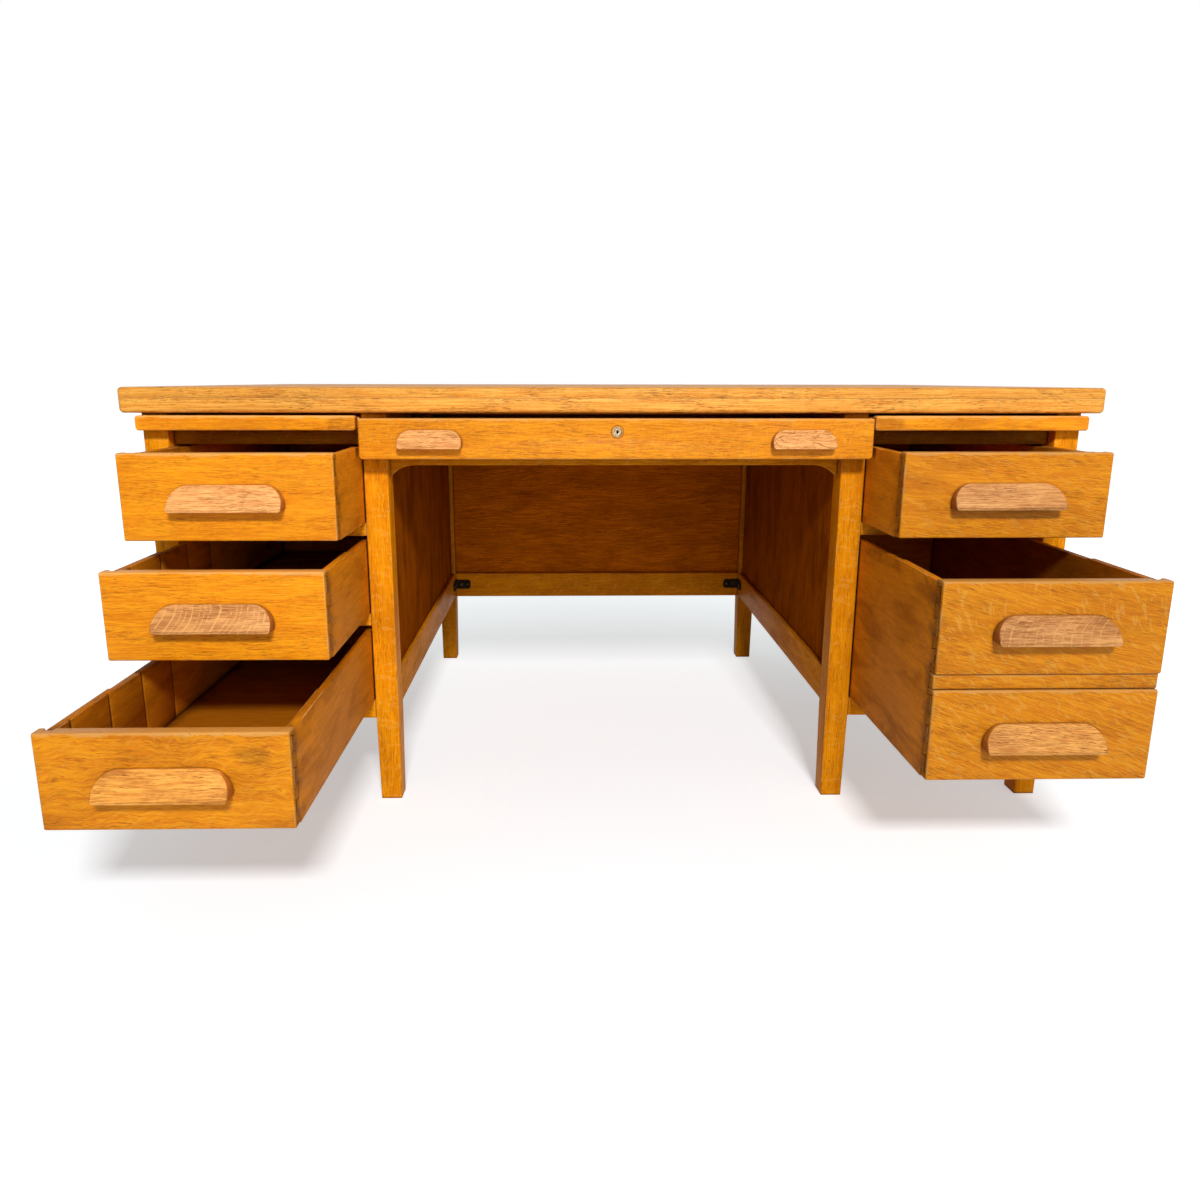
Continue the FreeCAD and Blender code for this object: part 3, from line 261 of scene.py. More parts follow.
class Group:
    """A shader node group with named inputs and outputs, all of plain values and vectors."""

    def __init__(self, name: str, **inputs: float | Triple) -> None:
        """Make the group's inputs from their start values, with _ for a space."""
        self.tree = bpy.data.node_groups.new(name, "ShaderNodeTree")
        self.wiring = Wiring(self.tree)
        for title, start in inputs.items():
            kind = "Vector" if isinstance(start, tuple) else "Float"
            self.socket(title, "INPUT", kind).default_value = start
        self.given = self.tree.nodes.new("NodeGroupInput").outputs

    def socket(self, title: str, way: str, kind: str) -> bpy.types.NodeTreeInterfaceSocket:
        """Add one socket to the group's face."""
        return self.tree.interface.new_socket(title.replace("_", " "), in_out=way,
                                              socket_type=f"NodeSocket{kind}")

    def give(self, **terms: Socket) -> Group:
        """Send values to new outputs and return the group."""
        for title in terms:
            self.socket(title, "OUTPUT", "Float")
        self.wiring.fill(self.tree.nodes.new("NodeGroupOutput"), **terms)
        return self

    def use(self, wiring: Wiring, **terms: Term) -> bpy.types.bpy_prop_collection:
        """Place the group in a tree, feed its inputs and return its outputs."""
        return wiring.fill(wiring.add("Group", node_tree=self.tree), **terms).outputs


BEND = Weave(1.8, 6.0)
RIPPLE = Weave(24.0, 34.0)
BANDS = Weave(4.5, 6.0, 4.0, 0.62)
FIBRE = Weave(24.0, 400.0, 4.0, 0.75)
CROWD = Weave(9.0, 42.0)
PORES = Weave(52.0, 880.0, 1.5, 0.55)
HAIR_PORES = Weave(120.0, 1250.0, 1.0)
RAY_SWAY = Weave(11.0, 17.0, 1.0)
RAY_ZONE = Weave(8.0, 14.0, 1.0)
RAY_GAPS = Weave(70.0, 70.0, 1.0)
STAIN = Weave(7.0, 22.0, 4.0, 0.62, 0.4)
COARSE = Weave(26.0, 26.0, 4.0, 0.65)
FINE = Weave(170.0, 170.0, 3.0, 0.6)
SMEAR = Weave(60.0, 230.0, 4.0, 0.65)
DENTS = Weave(95.0, 210.0, 1.0, 0.5, 0.6)
CRACK_SWAY = Weave(160.0, 160.0, 3.0)
CRACK_CELLS = Weave(30.0, 46.0)
CRACK_ZONE = Weave(38.0, 38.0)
GRIT = Weave(1900.0, 1900.0)


def oak_figure() -> Group:
    """Make the figure of oak: bands, fibre, pores, ray flecks and mottling.

    Returns:
        The group, whose outputs are masks from 0 to 1.
    """
    wave_height, ray_sway, ray_width, beat_pace = 0.0035, 0.03, 0.0011, 45.0
    group = Group("oak_figure", At=NOWHERE, Half=(1.0, 1.0, 1.0), Seed=NOWHERE, Band=0.012,
                  Wander=0.03, Turn=1.1, Pitch=0.006, Gather=0.34, Wave=1.0, Lean=0.0, Bow=0.0,
                  Streak=24.0)
    wiring, given = group.wiring, group.given
    times, plus, less = wiring.times, wiring.plus, wiring.less
    where = wiring.vectors("ADD", given["At"], given["Seed"])
    along, across, through = wiring.split(where)
    drift = times(less(wiring.weave(where, BEND), 0.5), given["Wander"])
    small = times(less(wiring.weave(where, RIPPLE), 0.5), times(given["Wave"], wave_height))
    slope = wiring.maths("MULTIPLY_ADD", wiring.split(given["At"])[0], given["Lean"], small)
    heart = plus(plus(across, times(through, 0.8)), plus(drift, slope))

    def threads(weave: Weave, pace: Term) -> Socket:
        """Read noise in threads along the heart's line."""
        place = wiring.join(times(along, pace), times(heart, weave.across),
                            times(through, weave.across))
        return wiring.noise(place, weave.detail, weave.rough)

    bands = wiring.join(times(along, BANDS.along), wiring.maths("DIVIDE", heart, given["Band"]),
                        times(through, BANDS.across))
    bar = wiring.ease(wiring.weave(where, CROWD), 0.32, 0.66, 0.66, 0.54)
    pores = wiring.maths("MAXIMUM", wiring.ease(threads(PORES, PORES.along), bar, plus(bar, 0.09)),
                         wiring.ease(threads(HAIR_PORES, HAIR_PORES.along), bar, plus(bar, 0.12),
                                     0.0, 0.6))

    turn, pitch = given["Turn"], wiring.maths("ABSOLUTE", given["Pitch"])
    sine, cosine = wiring.maths("SINE", turn), wiring.maths("COSINE", turn)
    above = wiring.split(wiring.vectors("ADD", given["At"], given["Half"]))[1]
    over = plus(less(times(along, sine), times(across, cosine)),
                plus(times(less(wiring.weave(where, RAY_SWAY), 0.5), ray_sway),
                     times(times(above, above), given["Bow"])))
    down = plus(times(along, cosine), times(across, sine))
    paces = wiring.maths("DIVIDE", over, pitch)
    stripes = wiring.noise(wiring.join(paces, wiring.maths("DIVIDE", down, times(pitch, 6.0)),
                                       times(through, 40.0)), 1.5)
    flecks = times(wiring.ease(stripes, 0.57, 0.64), wiring.ease(
        wiring.weave(where, RAY_ZONE), given["Gather"], plus(given["Gather"], 0.22)))
    unrest = wiring.noise(wiring.join(times(over, beat_pace), 0.0, 0.0), 0.0)
    beat = wiring.maths("MULTIPLY_ADD", unrest, 1.6, paces)
    thin = wiring.maths("DIVIDE", ray_width, pitch)
    rays = times(wiring.ease(wiring.weave(where, RAY_GAPS), 0.34, 0.46),
                 wiring.ease(wiring.maths("PINGPONG", beat, 0.5), thin, times(thin, 0.3)))
    flecks = wiring.maths("MULTIPLY_ADD", less(rays, flecks),
                          wiring.maths("LESS_THAN", given["Pitch"], 0.0), flecks)
    return group.give(
        Bands=wiring.ease(wiring.noise(bands, BANDS.detail, BANDS.rough), 0.34, 0.66),
        Fibre=wiring.ease(threads(FIBRE, given["Streak"]), 0.40, 0.60),
        Pores=pores, Flecks=flecks, Stain=wiring.ease(wiring.weave(where, STAIN), 0.44, 0.68))


def board_wear() -> Group:
    """Make the wear of a board: bare arrises, grime near its edges, end grain and small dents.

    Returns:
        The group, whose outputs are masks from 0 to 1.
    """
    spot_shape, spot_fray, spot_start = (1.0, 1.9, 0.0), -0.06, 500.0
    group = Group("board_wear", At=NOWHERE, Half=(1.0, 1.0, 1.0), Seed=NOWHERE, Spot=NOWHERE,
                  Bare_Width=0.0015, Upper_Width=0.0024, Grime_Width=0.03, Handled_Length=0.05)
    wiring, given = group.wiring, group.given
    times, plus = wiring.times, wiring.plus
    at, half = given["At"], given["Half"]
    ends, edges, faces = wiring.split(
        wiring.vectors("SUBTRACT", half, wiring.vectors("ABSOLUTE", at)))
    near = wiring.maths("MINIMUM", wiring.maths("MAXIMUM", ends, edges),
                        wiring.maths("MINIMUM", wiring.maths("MAXIMUM", edges, faces),
                                     wiring.maths("MAXIMUM", ends, faces)))
    where = wiring.vectors("ADD", at, given["Seed"])
    coarse, fine = wiring.weave(where, COARSE), wiring.weave(where, FINE)
    rub = times(given["Bare Width"], wiring.ease(coarse, 0.35, 0.68, 0.35, 2.6))
    reach = times(given["Grime Width"], wiring.ease(coarse, 0.46, 0.70, 0.04, 1.3))
    band = times(given["Upper Width"], wiring.ease(coarse, 0.36, 0.64, 0.5, 1.5))
    from_top = wiring.split(wiring.vectors("SUBTRACT", half, at))[1]
    from_front = plus(wiring.split(half)[0], wiring.split(at)[0])
    length = times(given["Handled Length"], wiring.ease(coarse, 0.3, 0.7, 0.5, 1.8))
    away = wiring.distance(wiring.vectors("MULTIPLY", at, spot_shape),
                           wiring.vectors("MULTIPLY", given["Spot"], spot_shape))
    size = wiring.split(given["Spot"])[2]
    frayed = wiring.maths("MULTIPLY_ADD", wiring.less(coarse, 0.5), spot_fray, away)
    smear = wiring.ease(wiring.weave(where, SMEAR), 0.25, 0.55, 0.3, 1.0)
    spotted = times(wiring.ease(frayed, size, times(size, 0.35)), smear)
    return group.give(
        Bare=wiring.ease(plus(near, times(fine, 0.0007)), rub, 0.0),
        Grime=times(wiring.ease(near, reach, 0.0), wiring.ease(fine, 0.30, 0.62, 0.55, 1.0)),
        End=wiring.ease(ends, 0.0016, 0.0008),
        Upper=wiring.ease(from_top, band, times(band, 0.5)),
        Handled=times(wiring.ease(from_front, length, 0.0), wiring.ease(fine, 0.25, 0.6, 0.6, 1.0)),
        Spotted=times(spotted, times(size, spot_start, clamp=True)),
        Dents=times(wiring.ease(wiring.weave(where, DENTS), 0.735, 0.79),
                    wiring.ease(coarse, 0.40, 0.55)))


def hairline_cracks() -> Group:
    """Make the dark hairline cracks of dried-out oak, as a mask from 0 to 1."""
    group = Group("hairline_cracks", At=NOWHERE, Seed=NOWHERE)
    wiring = group.wiring
    where = wiring.vectors("ADD", group.given["At"], group.given["Seed"])
    sway = wiring.times(wiring.less(wiring.weave(where, CRACK_SWAY), 0.5), 0.35)
    scale = (CRACK_CELLS.along, CRACK_CELLS.across, CRACK_CELLS.across)
    place = wiring.vectors("ADD", wiring.vectors("MULTIPLY", where, scale),
                           wiring.join(sway, sway, sway))
    cells = wiring.fill(wiring.add("TexVoronoi", feature="DISTANCE_TO_EDGE"), Vector=place,
                        Scale=1.0)
    zone = wiring.ease(wiring.weave(where, CRACK_ZONE), 0.42, 0.56, 0.1, 1.0)
    return group.give(Cracks=wiring.times(
        wiring.ease(cells.outputs["Distance"], 0.024, 0.008), zone))


def metal_film() -> Group:
    """Make the patches of film on old metal and its fine grit, as values from 0 to 1."""
    group = Group("metal_film", Where=NOWHERE, Scale=(160.0, 160.0, 160.0))
    wiring, where = group.wiring, group.given["Where"]
    patches = wiring.noise(wiring.vectors("MULTIPLY", where, group.given["Scale"]), 4.0, 0.65)
    return group.give(Clean=wiring.ease(patches, 0.40, 0.62), Grit=wiring.weave(where, GRIT))


def bare_material(name: str) -> tuple[bpy.types.Material, Wiring]:
    """Make a material with an empty tree, and the wiring of that tree."""
    made = bpy.data.materials.new(name)
    made.use_nodes = True
    made.node_tree.nodes.clear()
    return made, Wiring(made.node_tree)


# ---------------------------------------------------------------- finishes


@dataclass(frozen=True)
class Look:
    """How one board differs from its neighbours in the same finish.

    value scales its brightness, and for many boards paints light and shade as well as their own
    tone. fleck scales its ray flecks, mottle its mottling and wave its wavy grain. turn is the
    flecks' angle to the grain in radians, pitch their spacing in metres (below zero for long even
    rays) and bow how they bend. lean is the slope of the grain and crack the strength of cracks.
    spot is a grimy place: along and across from the board's middle, and its reach. tint
    multiplies the board's colour.
    """

    value: float = 1.0
    fleck: float = 1.0
    turn: float = 1.1
    pitch: float = 0.006
    mottle: float = 1.0
    crack: float = 0.0
    wave: float = 1.0
    lean: float = 0.0
    bow: float = 0.0
    spot: Triple = NOWHERE
    tint: Triple = (1.0, 1.0, 1.0)


# Beside each board's own tone, many values paint light and shade: the fronts and pulls on the right
# are darkened, some drawer sides and the modesty panel brightened, and the side panels and the
# insides of the drawers darkened.
LOOKS = {
    "left_top_front0": Look(value=0.99, fleck=0.1, mottle=0.3),
    "left_middle_front0": Look(value=1.03, fleck=0.1, mottle=0.4, wave=1.5),
    "left_bottom_front0": Look(value=0.83, fleck=0.4, turn=0.75, pitch=0.004, mottle=1.3,
                               wave=7.0, spot=(0.115, 0.034, 0.034)),
    "right_top_front0": Look(value=0.75, fleck=0.6, turn=-0.5, pitch=0.005, mottle=1.2,
                             wave=2.0, lean=0.12),
    "right_deep_front0": Look(value=0.64, fleck=1.1, turn=-0.9, pitch=0.004, mottle=0.6,
                              lean=0.1),
    "right_deep_front1": Look(value=0.68, fleck=1.2, turn=-0.55, pitch=0.0034, mottle=0.2,
                              wave=2.0, lean=0.34, bow=1.0),
    "right_deep_front2": Look(value=0.65, fleck=1.2, turn=-0.65, pitch=0.0042, mottle=0.8,
                              wave=2.0, lean=0.26, bow=2.5),
    "centre_front0": Look(value=0.9, fleck=0.5, turn=1.4, pitch=0.003, mottle=0.5, wave=2.5),
    "left_top_handle0": Look(value=1.2, fleck=0.2, turn=1.3, pitch=0.003, mottle=0.3),
    "left_middle_handle0": Look(value=0.94, fleck=1.2, turn=0.95, pitch=-0.0086, mottle=1.2,
                                bow=9.0),
    "left_bottom_handle0": Look(value=1.06, fleck=0.15, mottle=1.6, wave=2.0,
                                tint=(1.0, 0.93, 0.52)),
    "right_top_handle0": Look(value=0.77, fleck=0.3, turn=0.45, pitch=0.004, mottle=1.4),
    "right_deep_handle0": Look(value=0.84, fleck=0.1, mottle=0.8, wave=1.6, lean=0.12,
                               tint=(1.0, 0.98, 0.7)),
    "right_deep_handle1": Look(value=0.71, fleck=1.1, turn=1.4, pitch=-0.013, mottle=1.4,
                               bow=-16.0),
    "centre_handles0": Look(value=1.14, fleck=0.05, mottle=0.2),
    "centre_handles1": Look(value=1.1, fleck=0.1, mottle=0.4, crack=0.9),
    "leg_left_inner_front0": Look(value=0.98, wave=2.0),
    "leg_right_inner_front0": Look(value=0.82, wave=2.0),
    "left_top_box0": Look(value=1.34, mottle=0.8),
    "left_bottom_bottom0": Look(value=0.76, mottle=0.4, tint=(1.0, 0.93, 0.9)),
    "right_deep_box0": Look(value=1.18, mottle=1.4),
    "right_deep_box1": Look(value=0.75, tint=(1.0, 0.9, 0.8)),
    "modesty_panel0": Look(value=1.45, wave=2.0, tint=(1.0, 0.96, 0.8)),
    "side_panel_left_inner0": Look(value=0.86, mottle=1.5, tint=(1.0, 0.92, 0.8)),
    "side_panel_right_inner0": Look(value=0.82, mottle=1.5, tint=(1.0, 0.92, 0.8)),
    "writing_slide_left1": Look(value=1.24, fleck=0.1, spot=(0.165, 0.0, 0.036)),
    "writing_slide_right1": Look(value=1.08, fleck=0.1, spot=(-0.17, 0.0, 0.036)),
}
# Boards whose brightness is painted light and shade: lit drawer sides brightened; the back legs,
# the apron, the bearer rails under the slides, the rails in the kneehole and parts inside the
# drawers darkened.
PAINTED_LIGHT_AND_SHADE = {"leg_left_inner_back0": 0.66, "leg_right_inner_back0": 0.68,
              "left_middle_box0": 1.27, "left_bottom_box0": 1.18, "left_bottom_box1": 1.0,
              "left_bottom_box2": 0.8, "right_top_box0": 1.24, "right_deep_box2": 0.95,
              "apron_rail0": 0.68, "bearer_rail_left": 0.45, "bearer_rail_right": 0.32,
              "modesty_rails0": 0.88, "modesty_rails1": 0.86}
PAINTED_LIGHT_AND_SHADE |= {f"side_rails_{side.value}{number}": 0.72 for side in Side for number in range(4)}
LOOKS |= {board: Look(value=value) for board, value in PAINTED_LIGHT_AND_SHADE.items()}


LABELS = ("board_at", "board_half", "board_seed", "board_look", "board_mark", "board_run",
          "board_spot", "board_tint")
"""Attributes that carry a board's measures and look to its finish."""


@dataclass(frozen=True)
class OakFinish:
    """Lacquered oak of one kind.

    Colours are display colours. The amounts say how strongly each effect shows.
    """

    name: str
    slot: str
    pale: Paint
    deep: Paint
    dusk: Paint = (186, 100, 14)
    pore: Paint = (146, 76, 8)
    ray: Paint = (250, 188, 84)
    bare: Paint = (240, 176, 96)
    grime: Paint = (112, 58, 6)
    # The colour below darkens faces that turn sideways, the ends of the pulls: painted shade,
    # together with the darker lacquer kept on them.
    end_lacquer_and_shade: Paint = (168, 98, 30)
    # The crevice colour below is painted shade, laid into hollows, gaps and corners found within
    # the reach.
    crevice_shade: Paint = (58, 26, 2)
    crevice_reach: float = 0.007
    open_share: float = 0.80
    shut_share: float = 0.25
    streak: float = 24.0
    band: float = 0.012
    wander: float = 0.03
    band_amount: float = 0.22
    fibre_amount: float = 0.6
    pore_amount: float = 0.6
    fleck_amount: float = 0.3
    gather: float = 0.2
    stain_amount: float = 0.4
    end_lacquer_and_shade_amount: float = 0.0
    bare_amount: float = 0.6
    bare_width: float = 0.0013
    grime_amount: float = 0.25
    grime_width: float = 0.012
    crevice_shade_amount: float = 0.75
    handled_amount: float = 0.0
    handled_length: float = 0.03
    spot_amount: float = 0.55
    end_amount: float = 0.6
    upper_amount: float = 0.0
    upper_width: float = 0.0024
    dent_amount: float = 0.6
    roughness: float = 0.44
    gloss: float = 0.15
    relief: float = 0.25
    relief_depth: float = 0.0004

    def material(self, groups: dict[str, Group]) -> bpy.types.Material:
        """Build the finish.

        Args:
            groups: The shared groups by name.

        Returns:
            The material.
        """
        made, wiring = bare_material(self.name)
        at, half, seed, look, mark, run, spot, tint = (
            wiring.add("Attribute", attribute_name=name).outputs["Vector"] for name in LABELS)
        value, fleck, turn = wiring.split(look)
        pitch, mottle, crack = wiring.split(mark)
        wave, lean, bow = wiring.split(run)
        oak = groups["figure"].use(wiring, At=at, Half=half, Seed=seed, Band=self.band,
                                   Wander=self.wander, Turn=turn, Pitch=pitch, Gather=self.gather,
                                   Wave=wave, Lean=lean, Bow=bow, Streak=self.streak)
        worn = groups["wear"].use(wiring, At=at, Half=half, Seed=seed, Spot=spot,
                                  Bare_Width=self.bare_width, Upper_Width=self.upper_width,
                                  Grime_Width=self.grime_width, Handled_Length=self.handled_length)
        body = wiring.plus(*(
            wiring.maths("MULTIPLY_ADD", oak[part], amount, start - amount / 2)
            for part, amount, start in (("Bands", self.band_amount, 0.5),
                                        ("Fibre", self.fibre_amount, 0.0))), clamp=True)
        tone = wiring.mix(body, colour(self.deep), colour(self.pale))
        tone = wiring.cover(tone, oak["Stain"], wiring.times(mottle, self.stain_amount), self.dusk)
        tone = wiring.cover(tone, oak["Flecks"], wiring.times(fleck, self.fleck_amount), self.ray)
        for mask, amount, over in ((oak["Pores"], self.pore_amount, self.pore),
                                   (worn["End"], self.end_amount, self.grime),
                                   (worn["Grime"], self.grime_amount, self.grime),
                                   (worn["Handled"], self.handled_amount, self.grime),
                                   (worn["Spotted"], self.spot_amount, self.grime),
                                   (worn["Upper"], self.upper_amount, self.bare),
                                   (worn["Bare"], self.bare_amount, self.bare),
                                   (worn["Dents"], self.dent_amount, self.pore)):
            if amount:
                tone = wiring.cover(tone, mask, amount, over)
        if self.end_lacquer_and_shade_amount:
            cracks = groups["cracks"].use(wiring, At=at, Seed=seed)["Cracks"]
            tone = wiring.cover(tone, cracks, crack, self.pore)
            # Faces that turn sideways, the ends of the pulls, are darkened: painted shade, together
            # with the lacquer kept on them.
            facing = wiring.add("TexCoord").outputs["Normal"]
            sideways = wiring.maths("ABSOLUTE", wiring.split(facing)[0])
            tone = wiring.cover(tone, wiring.ease(sideways, 0.35, 0.75), self.end_lacquer_and_shade_amount,
                                self.end_lacquer_and_shade)
        # Painted shade: hollows, gaps and corners found by ambient occlusion are darkened.
        hollow = wiring.hollows(self.crevice_reach, self.open_share, self.shut_share)
        tone = wiring.cover(tone, hollow, self.crevice_shade_amount, self.crevice_shade)
        shown = wiring.fill(wiring.add("HueSaturation"), Value=value,
                            Color=wiring.mix(1.0, tone, tint, "MULTIPLY"))
        rough = wiring.maths("MULTIPLY_ADD", worn["Bare"], 0.22, self.roughness)
        rough = wiring.maths("MULTIPLY_ADD", oak["Stain"], 0.08, rough)
        rough = wiring.maths("MULTIPLY_ADD", worn["End"], 0.35, rough, clamp=True)
        height = wiring.maths("MULTIPLY_ADD", oak["Fibre"], 0.25, wiring.maths(
            "MULTIPLY_ADD", worn["Dents"], -2.0, wiring.times(oak["Pores"], -1.0)))
        wiring.show(wiring.fill(
            wiring.add("BsdfPrincipled"), Specular_IOR_Level=self.gloss,
            Base_Color=shown.outputs["Color"], Roughness=rough,
            Normal=wiring.bump(self.relief, self.relief_depth, height)))
        return made


@dataclass(frozen=True)
class MetalFinish:
    """Worn metal with patches of darker film, and shade painted into its hollows.

    Colours are display colours. Seen from the front, lacquer has run over the metal past the
    radius rim from the middle, a thin ring of painted shade lies just inside that rim, and the
    keyhole's shade is painted in within the radius pit.
    """

    name: str
    slot: str
    clean: Paint
    film: Paint
    metallic: float = 1.0
    roughness: float = 0.4
    patch_scale: float = 160.0
    gloss: float = 0.5
    rim: float = 0.0
    pit: float = 0.0
    middle: Triple = NOWHERE
    lacquer: Paint = (214, 134, 32)
    # Painted shade, laid into the hollows and the pit.
    hollow_shade: Paint = (36, 22, 10)
    crevice_reach: float = 0.003
    relief: float = 0.15
    relief_depth: float = 0.0002

    def material(self, groups: dict[str, Group]) -> bpy.types.Material:
        """Build the finish.

        Args:
            groups: The shared groups by name.

        Returns:
            The material.
        """
        made, wiring = bare_material(self.name)
        where = wiring.add("TexCoord").outputs["Object"]
        film = groups["film"].use(wiring, Where=where, Scale=(self.patch_scale,) * 3)
        tone = wiring.mix(film["Clean"], colour(self.film), colour(self.clean))
        away = wiring.distance(wiring.vectors("MULTIPLY", where, (1.0, 0.0, 1.0)), self.middle)
        metallic = self.metallic
        if self.rim:
            over = wiring.ease(away, self.rim, self.rim + 0.0003)
            # A thin ring just inside the rim is painted in the film colour: a painted shadow line
            # around the lock.
            edge = wiring.ease(away, self.rim - 0.0009, self.rim - 0.0001)
            tone = wiring.cover(tone, edge, 0.75, self.film)
            tone = wiring.cover(tone, over, 1.0, self.lacquer)
            metallic = wiring.ease(over, 0.0, 1.0, self.metallic, 0.0)
        if self.pit:
            # The keyhole's shade is painted in as a dark disc within the pit.
            fill = wiring.ease(away, self.pit + 0.0008, self.pit)
            tone = wiring.cover(tone, fill, 0.95, self.hollow_shade)
        # Painted shade in the hollows, found by ambient occlusion.
        tone = wiring.cover(tone, wiring.hollows(self.crevice_reach, 0.8, 0.3), 0.85, self.hollow_shade)
        rough = wiring.ease(film["Clean"], 0.0, 1.0, self.roughness + 0.18, self.roughness - 0.06)
        wiring.show(wiring.fill(
            wiring.add("BsdfPrincipled"), Specular_IOR_Level=self.gloss, Metallic=metallic,
            Base_Color=tone, Roughness=rough,
            Normal=wiring.bump(self.relief, self.relief_depth, film["Grit"])))
        return made


Finish = OakFinish | MetalFinish

FRONT_OAK = OakFinish("front_oak", "front_oak", pale=(255, 168, 24), deep=(222, 122, 6),
                      grime=(84, 42, 4), upper_amount=0.55, upper_width=0.0046, end_amount=0.3,
                      grime_amount=0.2, bare_width=0.002, spot_amount=0.36)
TOP_OAK = OakFinish("top_oak", "top_oak", pale=(255, 188, 86), deep=(222, 134, 38),
                    dusk=(206, 128, 50), pore=(116, 62, 18), pore_amount=0.8,
                    fibre_amount=0.75, streak=8.0, band_amount=0.1, stain_amount=0.3,
                    fleck_amount=0.1, gloss=0.14, roughness=0.42)
FRAME_OAK = OakFinish("frame_oak", "frame_oak", pale=(255, 168, 18), deep=(222, 126, 2),
                      fleck_amount=0.2, gloss=0.03)
BOX_OAK = OakFinish("drawer_oak", "drawer_oak", pale=(220, 136, 20), deep=(182, 102, 6),
                    dusk=(136, 70, 4), grime=(72, 36, 4), grime_amount=0.3, grime_width=0.03,
                    handled_amount=0.7, roughness=0.55, pore_amount=0.35, stain_amount=0.45,
                    fibre_amount=0.35, fleck_amount=0.0, gloss=0.08, open_share=0.94,
                    shut_share=0.5)
# The panels' colours are darker than the frame's: the panels' own browner tone, and shade painted
# in for the dark kneehole.
PANEL_OAK = OakFinish("panel_oak", "panel_oak", pale=(184, 100, 10), deep=(142, 70, 4),
                      dusk=(108, 50, 4), pore=(84, 38, 2), band=0.03, wander=0.08,
                      band_amount=0.1, fibre_amount=0.45, bare_amount=0.2, fleck_amount=0.0,
                      roughness=0.6, gloss=0.0)
MODESTY_OAK = replace(PANEL_OAK, name="modesty_oak", fibre_amount=0.8, streak=14.0)
PULL_OAK = OakFinish("pull_oak", "handle_oak", pale=(250, 184, 112), deep=(206, 132, 70),
                     dusk=(160, 94, 44), ray=(246, 182, 104), bare=(250, 196, 124),
                     pore=(130, 70, 26), fleck_amount=0.7, gather=0.1, end_lacquer_and_shade_amount=0.8,
                     grime_amount=0.2, fibre_amount=0.8, pore_amount=0.85, roughness=0.5)
BLACK_STEEL = MetalFinish("black_steel", "black_steel", clean=(48, 32, 18), film=(24, 15, 8),
                          metallic=0.0, roughness=0.75, gloss=0.1)
SCREW_STEEL = MetalFinish("screw_steel", "black_steel", clean=(104, 88, 64),
                          film=(44, 32, 20), metallic=0.3, roughness=0.6, gloss=0.2)
OLD_BRASS = MetalFinish("old_brass", "lock_brass", clean=(188, 164, 124), film=(120, 82, 40),
                        metallic=0.5, roughness=0.5, patch_scale=90.0, rim=0.0084,
                        middle=(0.0, 0.0, 0.689))
KEY_BRASS = replace(OLD_BRASS, name="key_brass", clean=(206, 188, 156), film=(170, 140, 100),
                    patch_scale=260.0, rim=0.0, pit=0.002)
LOCK_STEEL = MetalFinish("lock_steel", "lock_steel", clean=(160, 158, 152),
                         film=(104, 98, 88), patch_scale=260.0)


class Finishes:
    """All finishes of the desk, each built once."""

    def __init__(self) -> None:
        """Build the shared groups."""
        self.groups = {"figure": oak_figure(), "wear": board_wear(), "cracks": hairline_cracks(),
                       "film": metal_film()}
        self.made: dict[str, bpy.types.Material] = {}

    def put_on(self, piece: bpy.types.Object, finish: Finish) -> None:
        """Give a whole piece one finish."""
        if finish.name not in self.made:
            self.made[finish.name] = finish.material(self.groups)
        piece.data.materials.clear()
        piece.data.materials.append(self.made[finish.name])


# ---------------------------------------------------------------- bench work


class Part(Enum):
    """Parts of a mesh that can be selected."""

    FACE = "faces"
    EDGE = "edges"
    VERT = "verts"


def only(*pieces: bpy.types.Object) -> None:
    """Select these objects and nothing else, the first one active."""
    bpy.ops.object.select_all(action="DESELECT")
    for piece in pieces:
        piece.select_set(True)
    bpy.context.view_layer.objects.active = pieces[0]


@contextmanager
def editing(piece: bpy.types.Object) -> Iterator[None]:
    """Open one piece in edit mode with all of it selected, and close it at the end."""
    only(piece)
    bpy.ops.object.mode_set(mode="EDIT")
    bpy.ops.mesh.select_all(action="SELECT")
    yield
    bpy.ops.object.mode_set(mode="OBJECT")


def pick(piece: bpy.types.Object, part: Part, wanted: Test) -> None:
    """Select the parts of a piece in edit mode that a test wants, and nothing else."""
    bpy.ops.mesh.select_all(action="DESELECT")
    bpy.ops.mesh.select_mode(type=part.name)
    mesh = bmesh.from_edit_mesh(piece.data)
    for found in getattr(mesh, part.value):
        if wanted(found):
            found.select_set(True)
    mesh.select_flush_mode()
    bmesh.update_edit_mesh(piece.data)


def lies_at(edge: bmesh.types.BMEdge, axis: int, level: float, reach: float = TOUCH) -> bool:
    """Tell whether both ends of an edge are within reach of a level on an axis."""
    return all(abs(vertex.co[axis] - level) < reach for vertex in edge.verts)


def box_of(points: Iterable[Vector]) -> Box:
    """Find the lowest and the highest corner of some points."""
    levels = list(zip(*points))
    return Vector([min(level) for level in levels]), Vector([max(level) for level in levels])


def soften(piece: bpy.types.Object, width: float, segments: int = 2, angle: float = 38.0) -> None:
    """Round every arris of a piece.

    Args:
        piece: The piece.
        width: Width of the rounding.
        segments: Faces across it.
        angle: Smallest turn in degrees that counts as an arris.
    """
    only(piece)
    bevel = piece.modifiers.new("arrises", "BEVEL")
    bevel.width = width
    bevel.segments = segments
    bevel.limit_method = "ANGLE"
    bevel.angle_limit = math.radians(angle)
    bevel.use_clamp_overlap = False
    bpy.ops.object.modifier_apply(modifier=bevel.name)
    with editing(piece):
        bpy.ops.mesh.dissolve_degenerate(threshold=TOUCH)


